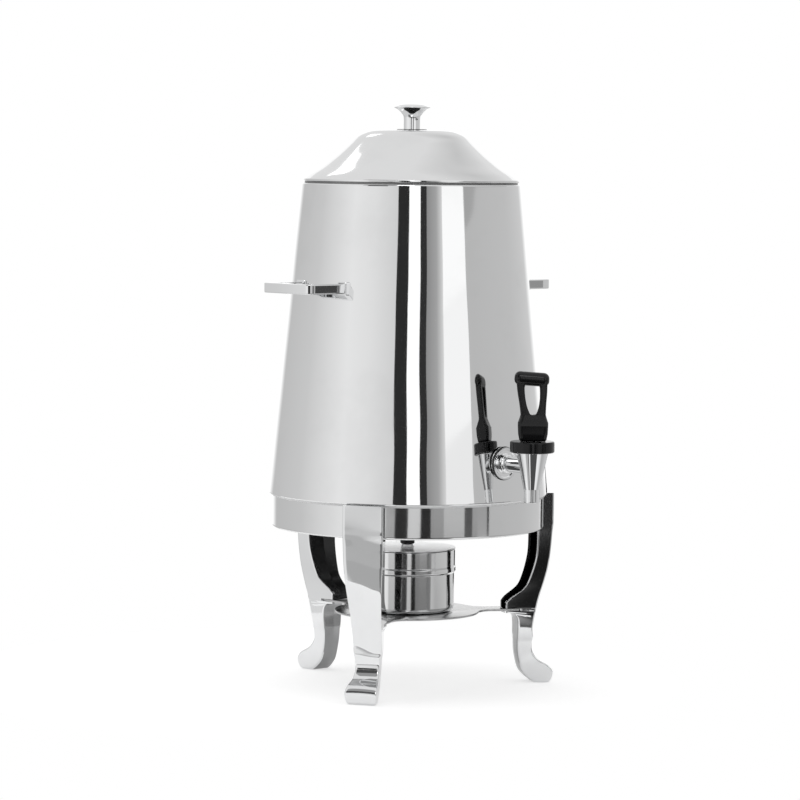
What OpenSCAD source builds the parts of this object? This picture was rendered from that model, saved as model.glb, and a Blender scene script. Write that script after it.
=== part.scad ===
// Drinks urn: a conical tank on a three-legged stand, with a lever tap and a fuel burner below.
// Origin on the floor under the middle of the bounding box, +Z up, tap towards -Y.

/* [Tank] */
// Outside diameter of the tank at its lower edge
tank_bottom_d = 270; // [240:1:300]
// Outside diameter of the tank at its rim
tank_rim_d = 212; // [208:1:230]
// Height of the tank from the base band to its rim
tank_h = 299; // [250:1:340]
// Sheet thickness of the tank and the lid
sheet_t = 1.2; // [1:0.1:2]
// Diameter of the mouth that the lid drops into
mouth_d = 198; // [184:1:200]

/* [Base band] */
// How far the base band sits in from the tank's lower edge
band_inset = 3.5; // [2.5:0.5:9]
// Height of the base band
band_h = 30; // [25:1:40]
// Height of the band's lower edge above the floor
band_z = 155; // [150:1:190]
// Sheet thickness of the base band
band_t = 1.4; // [1:0.1:2]

/* [Legs] */
// Width of a leg at its top
leg_top_w = 40; // [33:1:44]
// Width of a leg at its ankle
leg_ankle_w = 24; // [20:1:28]
// Width of a foot
leg_foot_w = 32; // [26:1:36]
// How far a leg stands out from the base band
leg_proud = 10.5; // [9:0.5:14]
// How far a toe reaches past the base band
toe_reach = 12; // [9:0.5:18]
// Diameter of the shanks of the leg screws
leg_screw_d = 4.8; // [4:0.1:5.8]

/* [Burner] */
// Height of the tray's top above the floor
tray_z = 73; // [68:1:80]
// Diameter of the tray's round middle
tray_d = 140; // [120:1:144]
// Width of the tray's arms
tray_arm_w = 22; // [16:1:28]
// Thickness of the tray
tray_t = 2; // [1.5:0.1:2.4]
// Outside diameter of the fuel holder
cup_d = 91; // [80:1:100]
// Height of the fuel holder without its cover
cup_h = 60; // [50:1:67]
// Sheet thickness of the fuel holder
cup_t = 1.2; // [0.8:0.1:2]
// Diameter of the cover's knob
cover_knob_d = 14; // [13:0.5:24]
// Height of the cover's knob
cover_knob_h = 7.5; // [7:0.5:10]

/* [Lid] */
// Outside diameter of the lid at its rim
lid_d = 210; // [206:1:222]
// Height of the lid from the tank's rim to its flat top
lid_h = 53; // [40:0.5:70]
// Diameter of the lid's flat top
lid_top_d = 92; // [70:1:120]
// Depth of the lid's skirt inside the mouth
skirt_h = 10; // [6:0.5:16]
// Diameter of the lid's knob
knob_d = 35; // [28:0.5:45]
// Height of the lid's knob
knob_h = 24.5; // [20:0.5:34]
// Diameter of the knob's stem
knob_stem_d = 16; // [13:0.5:20]

/* [Handles] */
// Length of a handle over the outsides of its arms
handle_w = 68; // [58:1:80]
// How far a handle stands out from the tank wall
handle_reach = 43.5; // [34:0.5:60]
// Height of the handle's bar
handle_bar_h = 9.5; // [8:0.5:14]
// Thickness of the handle's bar
handle_bar_t = 9; // [8:0.5:12]
// Height of the handles above the base band
handle_rise = 202.5; // [120:0.5:215]

/* [Tap] */
// Height of the tap's shank above the base band
tap_rise = 40; // [36:0.5:80]
// Distance from the tank wall to the middle of the tap
tap_reach = 38.5; // [36:0.5:55]
// Diameter of the ring behind the tap
collar_d = 32; // [28:0.5:40]
// Bore of the outlet
outlet_d = 10.5; // [8:0.5:11.5]
// Diameter of the black bonnet
bonnet_d = 41.5; // [36:0.5:46]
// Height of the black bonnet
bonnet_h = 10.5; // [9:0.5:14]
// Height of the lever
lever_h = 65; // [60:1:76]
// Width of the lever's base
lever_base_w = 26.8; // [26:0.2:32]
// Turn of the lever about the tap's middle at rest
lever_turn = -45; // [-90:5:90]

/* [Hidden] */
$fn = 96;
// Facets of the wide cones that small pieces are cut to
wide_fn = 256;

// Colours
steel = [0.80, 0.81, 0.82];
cast_steel = [0.72, 0.73, 0.75];
chrome = [0.86, 0.87, 0.88];
black = [0.06, 0.06, 0.065];
seal_white = [0.88, 0.88, 0.86];
zinc = [0.62, 0.63, 0.65];

// Overshoot of every cut
cut = 1;
// Gap between curved faces that are fixed to each other
seat_gap = 0.1;
// Gap between pieces that move past each other
run_gap = 0.3;
// Radial gap of a turning pin
pin_gap = 0.05;
// Radial gap of a screw in its thread
thread_gap = 0.1;
// Radial gap of a screw through a plate
hole_gap = 0.3;

// Directions of the three legs about the urn's middle
dir_front_left = 210;
dir_front_right = 330;
dir_rear = 90;
leg_dirs = [dir_front_left, dir_front_right, dir_rear];

// Tank
tank_r0 = tank_bottom_d / 2;
tank_r1 = tank_rim_d / 2;
mouth_r = mouth_d / 2;
band_r = tank_r0 - band_inset;
tank_z = band_z + band_h;
edge_turn = 3;
edge_z = tank_z + edge_turn;
rim_z = tank_z + tank_h;
rim_turn = 2.5;
heel_r = band_r - 9;
bottom_r = band_r - sheet_t - 1;
bottom_z = tank_z + sheet_t;
bottom_crown = 4;
hem_w = 5;
hem_turn = 2;

// Radius of the tank's outside at a height
function tank_r(z) = tank_r0 + (tank_r1 - tank_r0) * (z - edge_z) / (rim_z - edge_z);

// Points on an arc
function arc_pts(x, y, r, a0, a1, n) =
  [for (i = [0:n]) let (a = a0 + (a1 - a0) * i / n) [x + r * cos(a), y + r * sin(a)]];

// One point of a smooth curve between p1 and p2
function curve_at(p0, p1, p2, p3, t) =
  0.5 * (2 * p1 + (p2 - p0) * t + (2 * p0 - 5 * p1 + 4 * p2 - p3) * t * t
    + (3 * p1 - p0 - 3 * p2 + p3) * t * t * t);

// Smooth curve through the given points
function smooth(p, n) = concat(
  [for (i = [0:len(p) - 2]) for (s = [0:n - 1])
    curve_at(p[max(i - 1, 0)], p[i], p[i + 1], p[min(i + 2, len(p) - 1)], s / n)],
  [p[len(p) - 1]]);

// The same points in the other order
function backwards(p) = [for (i = [len(p) - 1:-1:0]) p[i]];

// The same points on the other side of the middle
function mirrored(p) = [for (q = backwards(p)) [-q[0], q[1]]];

// Legs
leg_top_z = edge_z - 1;
leg_r = band_r + leg_proud;
toe_r = band_r + toe_reach;
knee_r = band_r - 35.2;
slot_r = knee_r + 14.2;
slot_gap = 0.2;
curve_steps = 4;
leg_half = leg_top_w / 2;
foot_half = leg_foot_w / 2;
ankle_half = leg_ankle_w / 2;
leg_outer = [
  [leg_r - 0.4, leg_top_z],
  [leg_r, band_z + 8],
  [leg_r - 0.6, band_z - 8],
  [leg_r - 4.2, (band_z + tray_z) / 2 - 3],
  [band_r - 2.7, tray_z + 3],
  [band_r - 7.3, tray_z * 0.74],
  [band_r - 7.2, tray_z * 0.46],
  [band_r - 2.5, tray_z * 0.33],
  [toe_r - 4.5, tray_z * 0.245],
  [toe_r, tray_z * 0.165],
  [toe_r - 1.6, tray_z * 0.06],
  [toe_r - 5, 0]
];
leg_lower_in = [
  [band_r - 5, 0],
  [band_r - 12, tray_z * 0.07],
  [band_r - 18.4, tray_z * 0.18],
  [band_r - 22.4, tray_z * 0.4],
  [band_r - 23.6, tray_z * 0.6],
  [band_r - 22, tray_z - 16],
  [band_r - 23.6, tray_z - 8.4],
  [band_r - 28, tray_z - 4.6],
  [knee_r, tray_z - 4]
];
leg_upper_in = [
  [knee_r, tray_z + 6],
  [knee_r + 4, tray_z + 10.6],
  [knee_r + 16.6, tray_z + 20],
  [knee_r + 22, tray_z + 30],
  [knee_r + 26.6, tray_z + 45],
  [knee_r + 28.6, tray_z + 58],
  [knee_r + 29, band_z]
];
leg_width = [
  [foot_half - 0.6, 0],
  [foot_half, tray_z * 0.1],
  [foot_half - 1.4, tray_z * 0.2],
  [ankle_half - 0.4, tray_z * 0.34],
  [ankle_half, tray_z * 0.5],
  [ankle_half + 1.4, tray_z * 0.72],
  [(leg_half + ankle_half) / 2 + 0.6, tray_z + 12],
  [leg_half - 0.8, band_z - 30],
  [leg_half, band_z],
  [leg_half, leg_top_z]
];

// Leg screws
leg_screw_r = leg_screw_d / 2;
leg_screw_bite = 6;
leg_screw_head_r = 4.2;
leg_screw_head_h = 3;
leg_washer_r = 5;
leg_washer_t = 1;
leg_washer_face = sqrt(pow(band_r - band_t, 2) - pow(leg_washer_r, 2)) - seat_gap;
leg_screw_heights = [band_z + band_h * 0.27, band_z + band_h * 0.73];
socket_share = 0.55;

// Tray and burner
tray_r = tray_d / 2;
tongue_r = slot_r - 0.5;
tray_fillet = 18;
cup_r = cup_d / 2;
cup_corner = 5;
bead_z = tray_z + cup_h * 0.62;
bead_h = cup_h * 0.12;
bead_out = 1.4;
collar_out = 0.8;
cup_top_z = tray_z + cup_h;
cup_mouth_r = cup_r + collar_out - cup_t;
cover_t = 1.5;
cover_r = cup_r + collar_out + 0.4;
cover_top_z = cup_top_z + cover_t;
boss_h = 3;
boss_top_z = cover_top_z + boss_h;
boss_r0 = 5.8;
boss_r1 = 4.6;
plug_h = 5;
plug_r = cup_mouth_r - 0.5;
cover_knob_r = cover_knob_d / 2;
cover_screw_r = 1.9;
cover_screw_head_r = 3.6;
cover_screw_head_h = 2.4;
cover_screw_bite = 5;

// Lid
lid_r = lid_d / 2;
lid_top_r = lid_top_d / 2;
skirt_r = mouth_r - 0.4;
lid_seat_r = mouth_r + 3.5;
lid_seam = 2;
lid_top_z = rim_z + lid_h;
lid_curve = [
  [1.000, 0.105],
  [0.880, 0.219],
  [0.660, 0.383],
  [0.440, 0.566],
  [0.246, 0.755],
  [0.144, 0.868],
  [0.063, 0.930],
  [-0.050, 0.982],
  [-0.170, 1.000]
];
lid_outer = smooth([for (p = lid_curve)
  [lid_top_r + (lid_r - lid_top_r) * p[0], rim_z + lid_h * p[1]]], curve_steps);
lid_inner = [for (p = lid_outer) if (p[0] < lid_r - 8) [p[0] - 0.62 * sheet_t, p[1] - 0.79 * sheet_t]];
knob_r = knob_d / 2;
knob_stem_r = knob_stem_d / 2;
knob_washer_r = knob_stem_r + 6.5;
knob_washer_t = 0.8;
knob_z = lid_top_z + knob_washer_t;
knob_screw_r = 2.9;
knob_screw_head_r = 5;
knob_screw_head_h = 3.5;
knob_screw_bite = 12;
lid_under_z = lid_top_z - 0.79 * sheet_t;

// Handles
handle_z = tank_z + handle_rise;
handle_x = tank_r(handle_z) + handle_reach;
arm_y = handle_w / 2 - handle_bar_t / 2;
arm_wall_x = sqrt(pow(tank_r(handle_z), 2) - pow(arm_y, 2));
handle_foot_out = 3;
handle_foot_border = 1.5;
handle_corner = 3;
handle_screw_r = 2.4;
handle_screw_head_r = 4.2;
handle_screw_head_h = 3;
handle_screw_bite = 10;
seal_r = 6;
seal_min_t = 1;
seal_gap = 0.3;
seal_x = sqrt(pow(tank_r(handle_z + seal_r) - sheet_t, 2) - pow(arm_y + seal_r, 2)) - seal_min_t;

// Tap
tap_z = tank_z + tap_rise;
tap_r = tank_r(tap_z) + tap_reach;
collar_r = collar_d / 2;
collar_rim_w = 2.4;
collar_dish = 0.7;
gasket_r = collar_r - 3.5;
gasket_y = tank_r(tap_z - gasket_r) + 0.6;
collar_y = tank_r(tap_z - collar_r) + 1.9;
shank_r = 7.2;
inlet_r = 4.2;
hub_r = 8.6;
hub_t = 3;
inner_gasket_r = 13;
inner_gasket_y = sqrt(pow(tank_r(tap_z + inner_gasket_r) - sheet_t, 2) - pow(inner_gasket_r, 2)) - 1;
nut_t = 8;
nut_across = 24;
nut_y = inner_gasket_y - nut_t;
shank_end_y = nut_y - 6;
outlet_r = outlet_d / 2;
spout_r = 7.4;
spout_z = tap_z - 34;
cone_z = tap_z - 21.5;
valve_z = tap_z - 7;
bonnet_z = tap_z + 13;
cone_r = 15;
neck_r = 12.3;
neck_in_r = 10.4;
chamber_r0 = 9;
chamber_r1 = 11.6;
bonnet_r = bonnet_d / 2;
bonnet_top_z = bonnet_z + bonnet_h;
bonnet_lid_t = 3;
bonnet_edge = 1.4;
neck_top_z = bonnet_top_z - bonnet_lid_t - 0.2;
stem_r = 3;
stem_gap = 0.08;
stem_foot_r = 4.2;
stem_foot_t = 2;
plug_out_r = 7.5;
plug_t = 5;
plug_top_z = valve_z + plug_t;
sleeve_r = 5.2;
sleeve_top_z = plug_top_z + 8;
pocket_z = valve_z + 1.9;
pocket_gap = 0.2;
stem_foot_z = pocket_z + pocket_gap;
pocket_top_z = stem_foot_z + stem_foot_t + pocket_gap;
spring_wire_r = 0.45;
spring_r = 6.2;
spring_turns = 6;
spring_z0 = plug_top_z + spring_wire_r + 0.2;
spring_z1 = bonnet_top_z - bonnet_lid_t - spring_wire_r - 0.2;
spring_steps = 24;
spring_sides = 8;

// Lever
lever_z = bonnet_top_z + run_gap;
pin_rise = 8.7;
pin_z = lever_z + pin_rise;
pin_r = 1.5;
lever_base_half = lever_base_w / 2;
pin_left = 0.4 - lever_base_half;
pin_right = lever_base_half - 3;
cam_flat = 7.7;
cam_r = 8;
cam_turn = 26;
lever_base_depth = cam_flat + cam_r * sin(cam_turn);
lever_corner = 4.5;
lever_unit = lever_h / 65;
lever_neck_z = 24.5 * lever_unit;
lever_shoulder_z = 17.5 * lever_unit;
lever_neck_half = lever_base_half - 1.7;
loop_t = 10;
roller_r = 6.5;
roller_half = 16.3;
roller_turn = 4;
roller_lean = 3.5;
roller_z = lever_h - roller_r - (roller_half - roller_turn) * sin(roller_lean);
stem_top_z = pin_z + 4;
slot_half_l = 7.6;
slot_half_w = stem_r + 0.4;
slot_top = pin_rise + 6;
loop_side = smooth([
  [lever_neck_half, 21 * lever_unit],
  [lever_neck_half + 0.2, 27 * lever_unit],
  [lever_neck_half + 1, 36 * lever_unit],
  [lever_neck_half + 2, 44 * lever_unit],
  [lever_neck_half + 2.8, 52 * lever_unit],
  [lever_neck_half + 3, roller_z]
], curve_steps);
loop_hole = smooth([
  [0, 24.4 * lever_unit],
  [2.2, 25.6 * lever_unit],
  [3.8, 29 * lever_unit],
  [5.2, 35 * lever_unit],
  [6.6, 43 * lever_unit],
  [7.3, 48 * lever_unit],
  [6.4, 51 * lever_unit],
  [4, 52 * lever_unit]
], curve_steps);

// Place of the urn's middle in the frame
front_reach = tap_r + bonnet_r;
axis_y = (front_reach - toe_r) / 2;

// Moves a piece drawn about the urn's middle to its place in the frame
module placed() {
  translate([0, axis_y, 0])
    children();
}

// Moves a piece drawn about the tap's middle to the tap
module at_tap() {
  translate([0, -tap_r, 0])
    children();
}

// Lays a piece drawn along +Z along the shank, starting at a distance from the urn's middle
module on_shank(y) {
  translate([0, -y, tap_z])
    rotate([90, 0, 0])
      children();
}

// Screw along +Z whose head ends at zero, with a hexagon socket
module screw(r, length, head_r, head_h) {
  difference() {
    union() {
      cylinder(r = r, h = length);
      translate([0, 0, -head_h])
        cylinder(r = head_r, h = head_h);
    }
    translate([0, 0, -head_h - cut])
      cylinder(r = head_r * socket_share, h = head_h * socket_share + cut, $fn = 6);
  }
}

// Solid inside of the tank's outer face, grown by a gap
module tank_outside(gap) {
  translate([0, 0, edge_z])
    cylinder(r1 = tank_r0 + gap, r2 = tank_r1 + gap, h = rim_z - edge_z, $fn = wide_fn);
}

// Solid inside of the tank's inner face, shrunk by a gap
module tank_inside(gap) {
  translate([0, 0, edge_z])
    cylinder(r1 = tank_r0 - sheet_t - gap, r2 = tank_r1 - sheet_t - gap, h = rim_z - edge_z, $fn = wide_fn);
}

// Each of the six leg screw places
module at_leg_screws(r) {
  for (dir = leg_dirs)
    for (z = leg_screw_heights)
      rotate(dir)
        translate([r, 0, z])
          rotate([0, 90, 0])
            children();
}

// Each of the four handle screw places, pointing away from the middle
module at_handle_screws(x) {
  for (side = [0, 180])
    for (y = [-arm_y, arm_y])
      rotate(side)
        translate([x, y, handle_z])
          rotate([0, 90, 0])
            children();
}

module body_shell() {
  color(steel)
    difference() {
      rotate_extrude()
        polygon(concat(
          [[heel_r, tank_z], [band_r, tank_z], [tank_r0, edge_z]],
          arc_pts(tank_r1 - rim_turn, rim_z - rim_turn, rim_turn, 0, 90, 6),
          [
            [mouth_r, rim_z],
            [mouth_r, rim_z - sheet_t],
            [tank_r1 - rim_turn, rim_z - sheet_t],
            [tank_r1 - sheet_t, rim_z - rim_turn],
            [tank_r0 - sheet_t, edge_z + sheet_t / 4],
            [band_r - sheet_t * 0.75, bottom_z],
            [heel_r, bottom_z]
          ]
        ));
      on_shank(0)
        cylinder(r = shank_r + hole_gap, h = tap_r);
      at_handle_screws(0)
        cylinder(r = handle_screw_r + hole_gap, h = handle_x);
    }
}

module tank_bottom() {
  color(steel)
    rotate_extrude()
      polygon([
        [0, bottom_z + bottom_crown],
        [bottom_r * 0.59, bottom_z + bottom_crown],
        [bottom_r * 0.74, bottom_z],
        [bottom_r, bottom_z],
        [bottom_r, bottom_z + sheet_t],
        [bottom_r * 0.745, bottom_z + sheet_t],
        [bottom_r * 0.595, bottom_z + bottom_crown + sheet_t],
        [0, bottom_z + bottom_crown + sheet_t]
      ]);
}

module base_band() {
  color(steel)
    difference() {
      rotate_extrude()
        polygon(concat(
          [[band_r - hem_w, band_z]],
          arc_pts(band_r - hem_turn, band_z + hem_turn, hem_turn, -90, 0, 5),
          [
            [band_r, tank_z],
            [band_r - band_t, tank_z],
            [band_r - band_t, band_z + hem_turn],
            [band_r - hem_turn, band_z + band_t],
            [band_r - hem_w, band_z + band_t]
          ]
        ));
      at_leg_screws(0)
        cylinder(r = leg_screw_r + hole_gap, h = leg_r);
    }
}

// One leg, standing in the given direction
module leg(dir) {
  rotate(dir)
    difference() {
      intersection() {
        rotate([90, 0, 0])
          linear_extrude(height = leg_top_w + leg_foot_w, center = true)
            polygon(concat(
              smooth(leg_outer, curve_steps),
              smooth(leg_lower_in, curve_steps),
              smooth(leg_upper_in, curve_steps),
              [[leg_upper_in[len(leg_upper_in) - 1][0], leg_top_z]]
            ));
        translate([knee_r - cut, 0, 0])
          rotate([90, 0, 90])
            linear_extrude(height = toe_r - knee_r + 2 * cut)
              polygon(concat(smooth(leg_width, curve_steps), mirrored(smooth(leg_width, curve_steps))));
      }
      rotate_extrude()
        polygon([
          [0, band_z],
          [band_r + seat_gap, band_z],
          [band_r + seat_gap, tank_z - seat_gap],
          [tank_r0 + seat_gap, edge_z - seat_gap],
          [tank_r0 + seat_gap, edge_z + cut],
          [0, edge_z + cut]
        ]);
      translate([knee_r - cut, -leg_top_w, tray_z - tray_t])
        cube([slot_r - knee_r + cut, 2 * leg_top_w, tray_t + slot_gap]);
      for (z = leg_screw_heights)
        translate([0, 0, z])
          rotate([0, 90, 0])
            cylinder(r = leg_screw_r + thread_gap, h = band_r + leg_screw_bite + cut);
    }
}

module leg_front_left() {
  color(cast_steel)
    leg(dir_front_left);
}

module leg_front_right() {
  color(cast_steel)
    leg(dir_front_right);
}

module leg_rear() {
  color(cast_steel)
    leg(dir_rear);
}

module leg_screws() {
  color(zinc)
    at_leg_screws(leg_washer_face - leg_washer_t)
      screw(leg_screw_r, band_r + leg_screw_bite - leg_washer_face + leg_washer_t,
        leg_screw_head_r, leg_screw_head_h);
}

module leg_washers() {
  color(zinc)
    at_leg_screws(leg_washer_face - leg_washer_t)
      difference() {
        cylinder(r = leg_washer_r, h = leg_washer_t);
        translate([0, 0, -cut])
          cylinder(r = leg_screw_r + hole_gap, h = leg_washer_t + 2 * cut);
      }
}

module burner_tray() {
  arm_half = tray_arm_w / 2;
  fillet_y = arm_half + tray_fillet;
  fillet_x = sqrt(pow(tray_r + tray_fillet, 2) - pow(fillet_y, 2));
  lean = atan2(fillet_y, fillet_x);
  arm = concat(
    arc_pts(fillet_x, -fillet_y, tray_fillet, 180 - lean, 90, 6),
    [[tongue_r, -arm_half], [tongue_r, arm_half]],
    arc_pts(fillet_x, fillet_y, tray_fillet, -90, lean - 180, 6),
    arc_pts(0, 0, tray_r, lean + 4, 116 - lean, 8)
  );
  color(steel)
    translate([0, 0, tray_z - tray_t])
      linear_extrude(height = tray_t)
        polygon([for (dir = [dir_rear, dir_front_left, dir_front_right]) for (p = arm)
          [p[0] * cos(dir) - p[1] * sin(dir), p[0] * sin(dir) + p[1] * cos(dir)]]);
}

// One handle, on the +X side
module handle() {
  difference() {
    union() {
      translate([0, 0, handle_z - handle_bar_h / 2])
        linear_extrude(height = handle_bar_h)
          difference() {
            polygon([
              [0, -handle_w / 2],
              [handle_x - handle_corner, -handle_w / 2],
              [handle_x, -handle_w / 2 + handle_corner],
              [handle_x, handle_w / 2 - handle_corner],
              [handle_x - handle_corner, handle_w / 2],
              [0, handle_w / 2]
            ]);
            translate([-cut, handle_bar_t - handle_w / 2])
              square([handle_x - handle_bar_t + cut, handle_w - 2 * handle_bar_t]);
          }
      for (y = [-arm_y, arm_y])
        translate([
          arm_wall_x - handle_bar_t,
          y - handle_bar_t / 2 - handle_foot_border,
          handle_z - handle_bar_h / 2 - handle_foot_border
        ])
          cube([
            handle_bar_t + handle_foot_out,
            handle_bar_t + 2 * handle_foot_border,
            handle_bar_h + 2 * handle_foot_border
          ]);
    }
    tank_outside(seat_gap);
    for (y = [-arm_y, arm_y])
      translate([0, y, handle_z])
        rotate([0, 90, 0])
          cylinder(r = handle_screw_r + thread_gap, h = arm_wall_x + handle_screw_bite + cut);
  }
}

module left_handle() {
  color(chrome)
    rotate(180)
      handle();
}

module right_handle() {
  color(chrome)
    handle();
}

module handle_screws() {
  color(zinc)
    at_handle_screws(seal_x)
      screw(handle_screw_r, arm_wall_x + handle_screw_bite - seal_x, handle_screw_head_r, handle_screw_head_h);
}

module handle_seals() {
  color(seal_white)
    intersection() {
      at_handle_screws(seal_x)
        difference() {
          cylinder(r = seal_r, h = handle_reach);
          translate([0, 0, -cut])
            cylinder(r = handle_screw_r + thread_gap, h = handle_reach + 2 * cut);
        }
      tank_inside(seal_gap);
    }
}

module tap_body() {
  color(chrome)
    difference() {
      union() {
        at_tap()
          rotate_extrude()
            polygon([
              [0, spout_z],
              [spout_r, spout_z],
              [spout_r, cone_z],
              [cone_r, bonnet_z],
              [neck_r, bonnet_z],
              [neck_r, neck_top_z],
              [0, neck_top_z]
            ]);
        on_shank(shank_end_y)
          cylinder(r = shank_r, h = tap_r - shank_end_y);
        on_shank(collar_y)
          cylinder(r = hub_r, h = hub_t);
      }
      at_tap()
        translate([0, 0, valve_z])
          cylinder(r1 = chamber_r0, r2 = chamber_r1, h = bonnet_z - valve_z);
      at_tap()
        translate([0, 0, bonnet_z - cut])
          cylinder(r = neck_in_r, h = bonnet_h + cut);
      at_tap()
        translate([0, 0, spout_z - cut])
          cylinder(r = outlet_r, h = valve_z - spout_z + 2 * cut);
      on_shank(shank_end_y - cut)
        cylinder(r = inlet_r, h = tap_r - shank_end_y + cut);
    }
}

// Dished ring with a back cut to the tank and a recess for the gasket
module tap_collar() {
  front = collar_y - gasket_y;
  color(chrome)
    difference() {
      on_shank(gasket_y)
        rotate_extrude()
          polygon([
            [shank_r + thread_gap, 0],
            [gasket_r + seat_gap, 0],
            [gasket_r + seat_gap, -collar_r],
            [collar_r, -collar_r],
            [collar_r, front - 1],
            [collar_r - 1, front],
            [collar_r - collar_rim_w, front],
            [collar_r - collar_rim_w - 1, front - collar_dish],
            [hub_r + 1, front - collar_dish],
            [hub_r, front],
            [shank_r + thread_gap, front]
          ]);
      tank_outside(seat_gap);
    }
}

module tap_outer_gasket() {
  color(seal_white)
    difference() {
      on_shank(gasket_y - gasket_r)
        difference() {
          cylinder(r = gasket_r, h = gasket_r);
          translate([0, 0, -cut])
            cylinder(r = shank_r + thread_gap, h = gasket_r + 2 * cut);
        }
      tank_outside(seat_gap);
    }
}

module tap_inner_gasket() {
  color(seal_white)
    intersection() {
      on_shank(inner_gasket_y)
        difference() {
          cylinder(r = inner_gasket_r, h = inner_gasket_r);
          translate([0, 0, -cut])
            cylinder(r = shank_r + thread_gap, h = inner_gasket_r + 2 * cut);
        }
      tank_inside(seat_gap);
    }
}

module tap_locknut() {
  color(zinc)
    on_shank(nut_y)
      difference() {
        cylinder(d = nut_across / cos(30), h = nut_t, $fn = 6);
        translate([0, 0, -cut])
          cylinder(r = shank_r + thread_gap, h = nut_t + 2 * cut);
      }
}

module tap_bonnet() {
  color(black)
    at_tap()
      rotate_extrude()
        polygon([
          [stem_r + 0.4, bonnet_top_z - bonnet_lid_t],
          [neck_r + thread_gap, bonnet_top_z - bonnet_lid_t],
          [neck_r + thread_gap, bonnet_z],
          [bonnet_r - bonnet_edge, bonnet_z],
          [bonnet_r, bonnet_z + bonnet_edge],
          [bonnet_r, bonnet_top_z - bonnet_edge],
          [bonnet_r - bonnet_edge, bonnet_top_z],
          [stem_r + 0.4, bonnet_top_z]
        ]);
}

// Round wire wound about +Z; its sides follow the winding
module closing_spring() {
  steps = spring_turns * spring_steps;
  sides = spring_sides;
  points = [for (i = [0:steps]) for (k = [0:sides - 1])
    let (a = 360 * i / spring_steps, b = 360 * k / sides, r = spring_r + spring_wire_r * cos(b))
    [r * cos(a), r * sin(a), spring_z0 + (spring_z1 - spring_z0) * i / steps + spring_wire_r * sin(b)]];
  walls = [for (i = [0:steps - 1]) for (k = [0:sides - 1])
    [i * sides + k, i * sides + (k + 1) % sides, (i + 1) * sides + (k + 1) % sides, (i + 1) * sides + k]];
  ends = [[for (k = [sides - 1:-1:0]) k], [for (k = [0:sides - 1]) steps * sides + k]];
  color(zinc)
    at_tap()
      polyhedron(points = points, faces = concat(walls, ends), convexity = spring_turns);
}

module seat_cup() {
  color(seal_white)
    at_tap()
      rotate_extrude()
        polygon([
          [0, valve_z],
          [plug_out_r, valve_z],
          [plug_out_r, plug_top_z],
          [sleeve_r, plug_top_z],
          [sleeve_r, sleeve_top_z],
          [stem_r + stem_gap, sleeve_top_z],
          [stem_r + stem_gap, pocket_top_z],
          [stem_foot_r + pocket_gap, pocket_top_z],
          [stem_foot_r + pocket_gap, pocket_z],
          [0, pocket_z]
        ]);
}

module tap_stem() {
  color(zinc)
    at_tap()
      rotate(lever_turn)
        difference() {
          rotate_extrude()
            polygon([
              [0, stem_foot_z],
              [stem_foot_r, stem_foot_z],
              [stem_foot_r, stem_foot_z + stem_foot_t],
              [stem_r, stem_foot_z + stem_foot_t],
              [stem_r, stem_top_z],
              [0, stem_top_z]
            ]);
          translate([-2 * stem_r, 0, pin_z])
            rotate([0, 90, 0])
              cylinder(r = pin_r + pin_gap / 2, h = 4 * stem_r);
        }
}

module lever_pin() {
  color(zinc)
    at_tap()
      rotate(lever_turn)
        translate([pin_left, 0, pin_z])
          rotate([0, 90, 0])
            cylinder(r = pin_r, h = pin_right - pin_left);
}

// The lever's base, a block whose rounded underside rolls on the bonnet
module lever_base() {
  cam = arc_pts(cam_flat, cam_r, cam_r, -90, cam_turn - 90, 5);
  side = concat(cam, [[lever_base_depth, lever_shoulder_z - 3], [loop_t / 2, lever_neck_z]]);
  corners = [
    [lever_base_half - lever_corner, -lever_base_depth],
    [lever_base_half, lever_corner - lever_base_depth],
    [lever_base_half, lever_base_depth - lever_corner],
    [lever_base_half - lever_corner, lever_base_depth]
  ];
  front = [
    [lever_base_half - 2.2, 0],
    [lever_base_half, 3],
    [lever_base_half, lever_shoulder_z],
    [lever_neck_half, lever_neck_z]
  ];
  intersection() {
    rotate([90, 0, 90])
      linear_extrude(height = 2 * lever_base_w, center = true)
        polygon(concat(side, mirrored(side)));
    rotate([90, 0, 0])
      linear_extrude(height = 4 * lever_base_depth, center = true)
        polygon(concat(front, mirrored(front)));
    linear_extrude(height = lever_neck_z)
      polygon(concat(corners, mirrored(corners)));
  }
}

module tap_lever() {
  color(black)
    at_tap()
      rotate(lever_turn)
        translate([0, 0, lever_z])
          difference() {
            union() {
              lever_base();
              rotate([90, 0, 0])
                linear_extrude(height = loop_t, center = true)
                  difference() {
                    polygon(concat(loop_side, mirrored(loop_side)));
                    polygon(concat(loop_hole, mirrored(loop_hole)));
                  }
              translate([0, 0, roller_z])
                rotate([0, 90 + roller_lean, 0])
                  rotate_extrude()
                    polygon(concat(
                      [[0, -roller_half]],
                      arc_pts(roller_r - roller_turn, roller_turn - roller_half, roller_turn, -90, 0, 6),
                      arc_pts(roller_r - roller_turn, roller_half - roller_turn, roller_turn, 0, 90, 6),
                      [[0, roller_half]]
                    ));
            }
            translate([-slot_half_w, -slot_half_l, -cut])
              cube([2 * slot_half_w, 2 * slot_half_l, slot_top + cut]);
            translate([-lever_base_w, 0, pin_rise])
              rotate([0, 90, 0])
                cylinder(r = pin_r + pin_gap, h = lever_base_w + pin_right + run_gap);
          }
}

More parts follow.
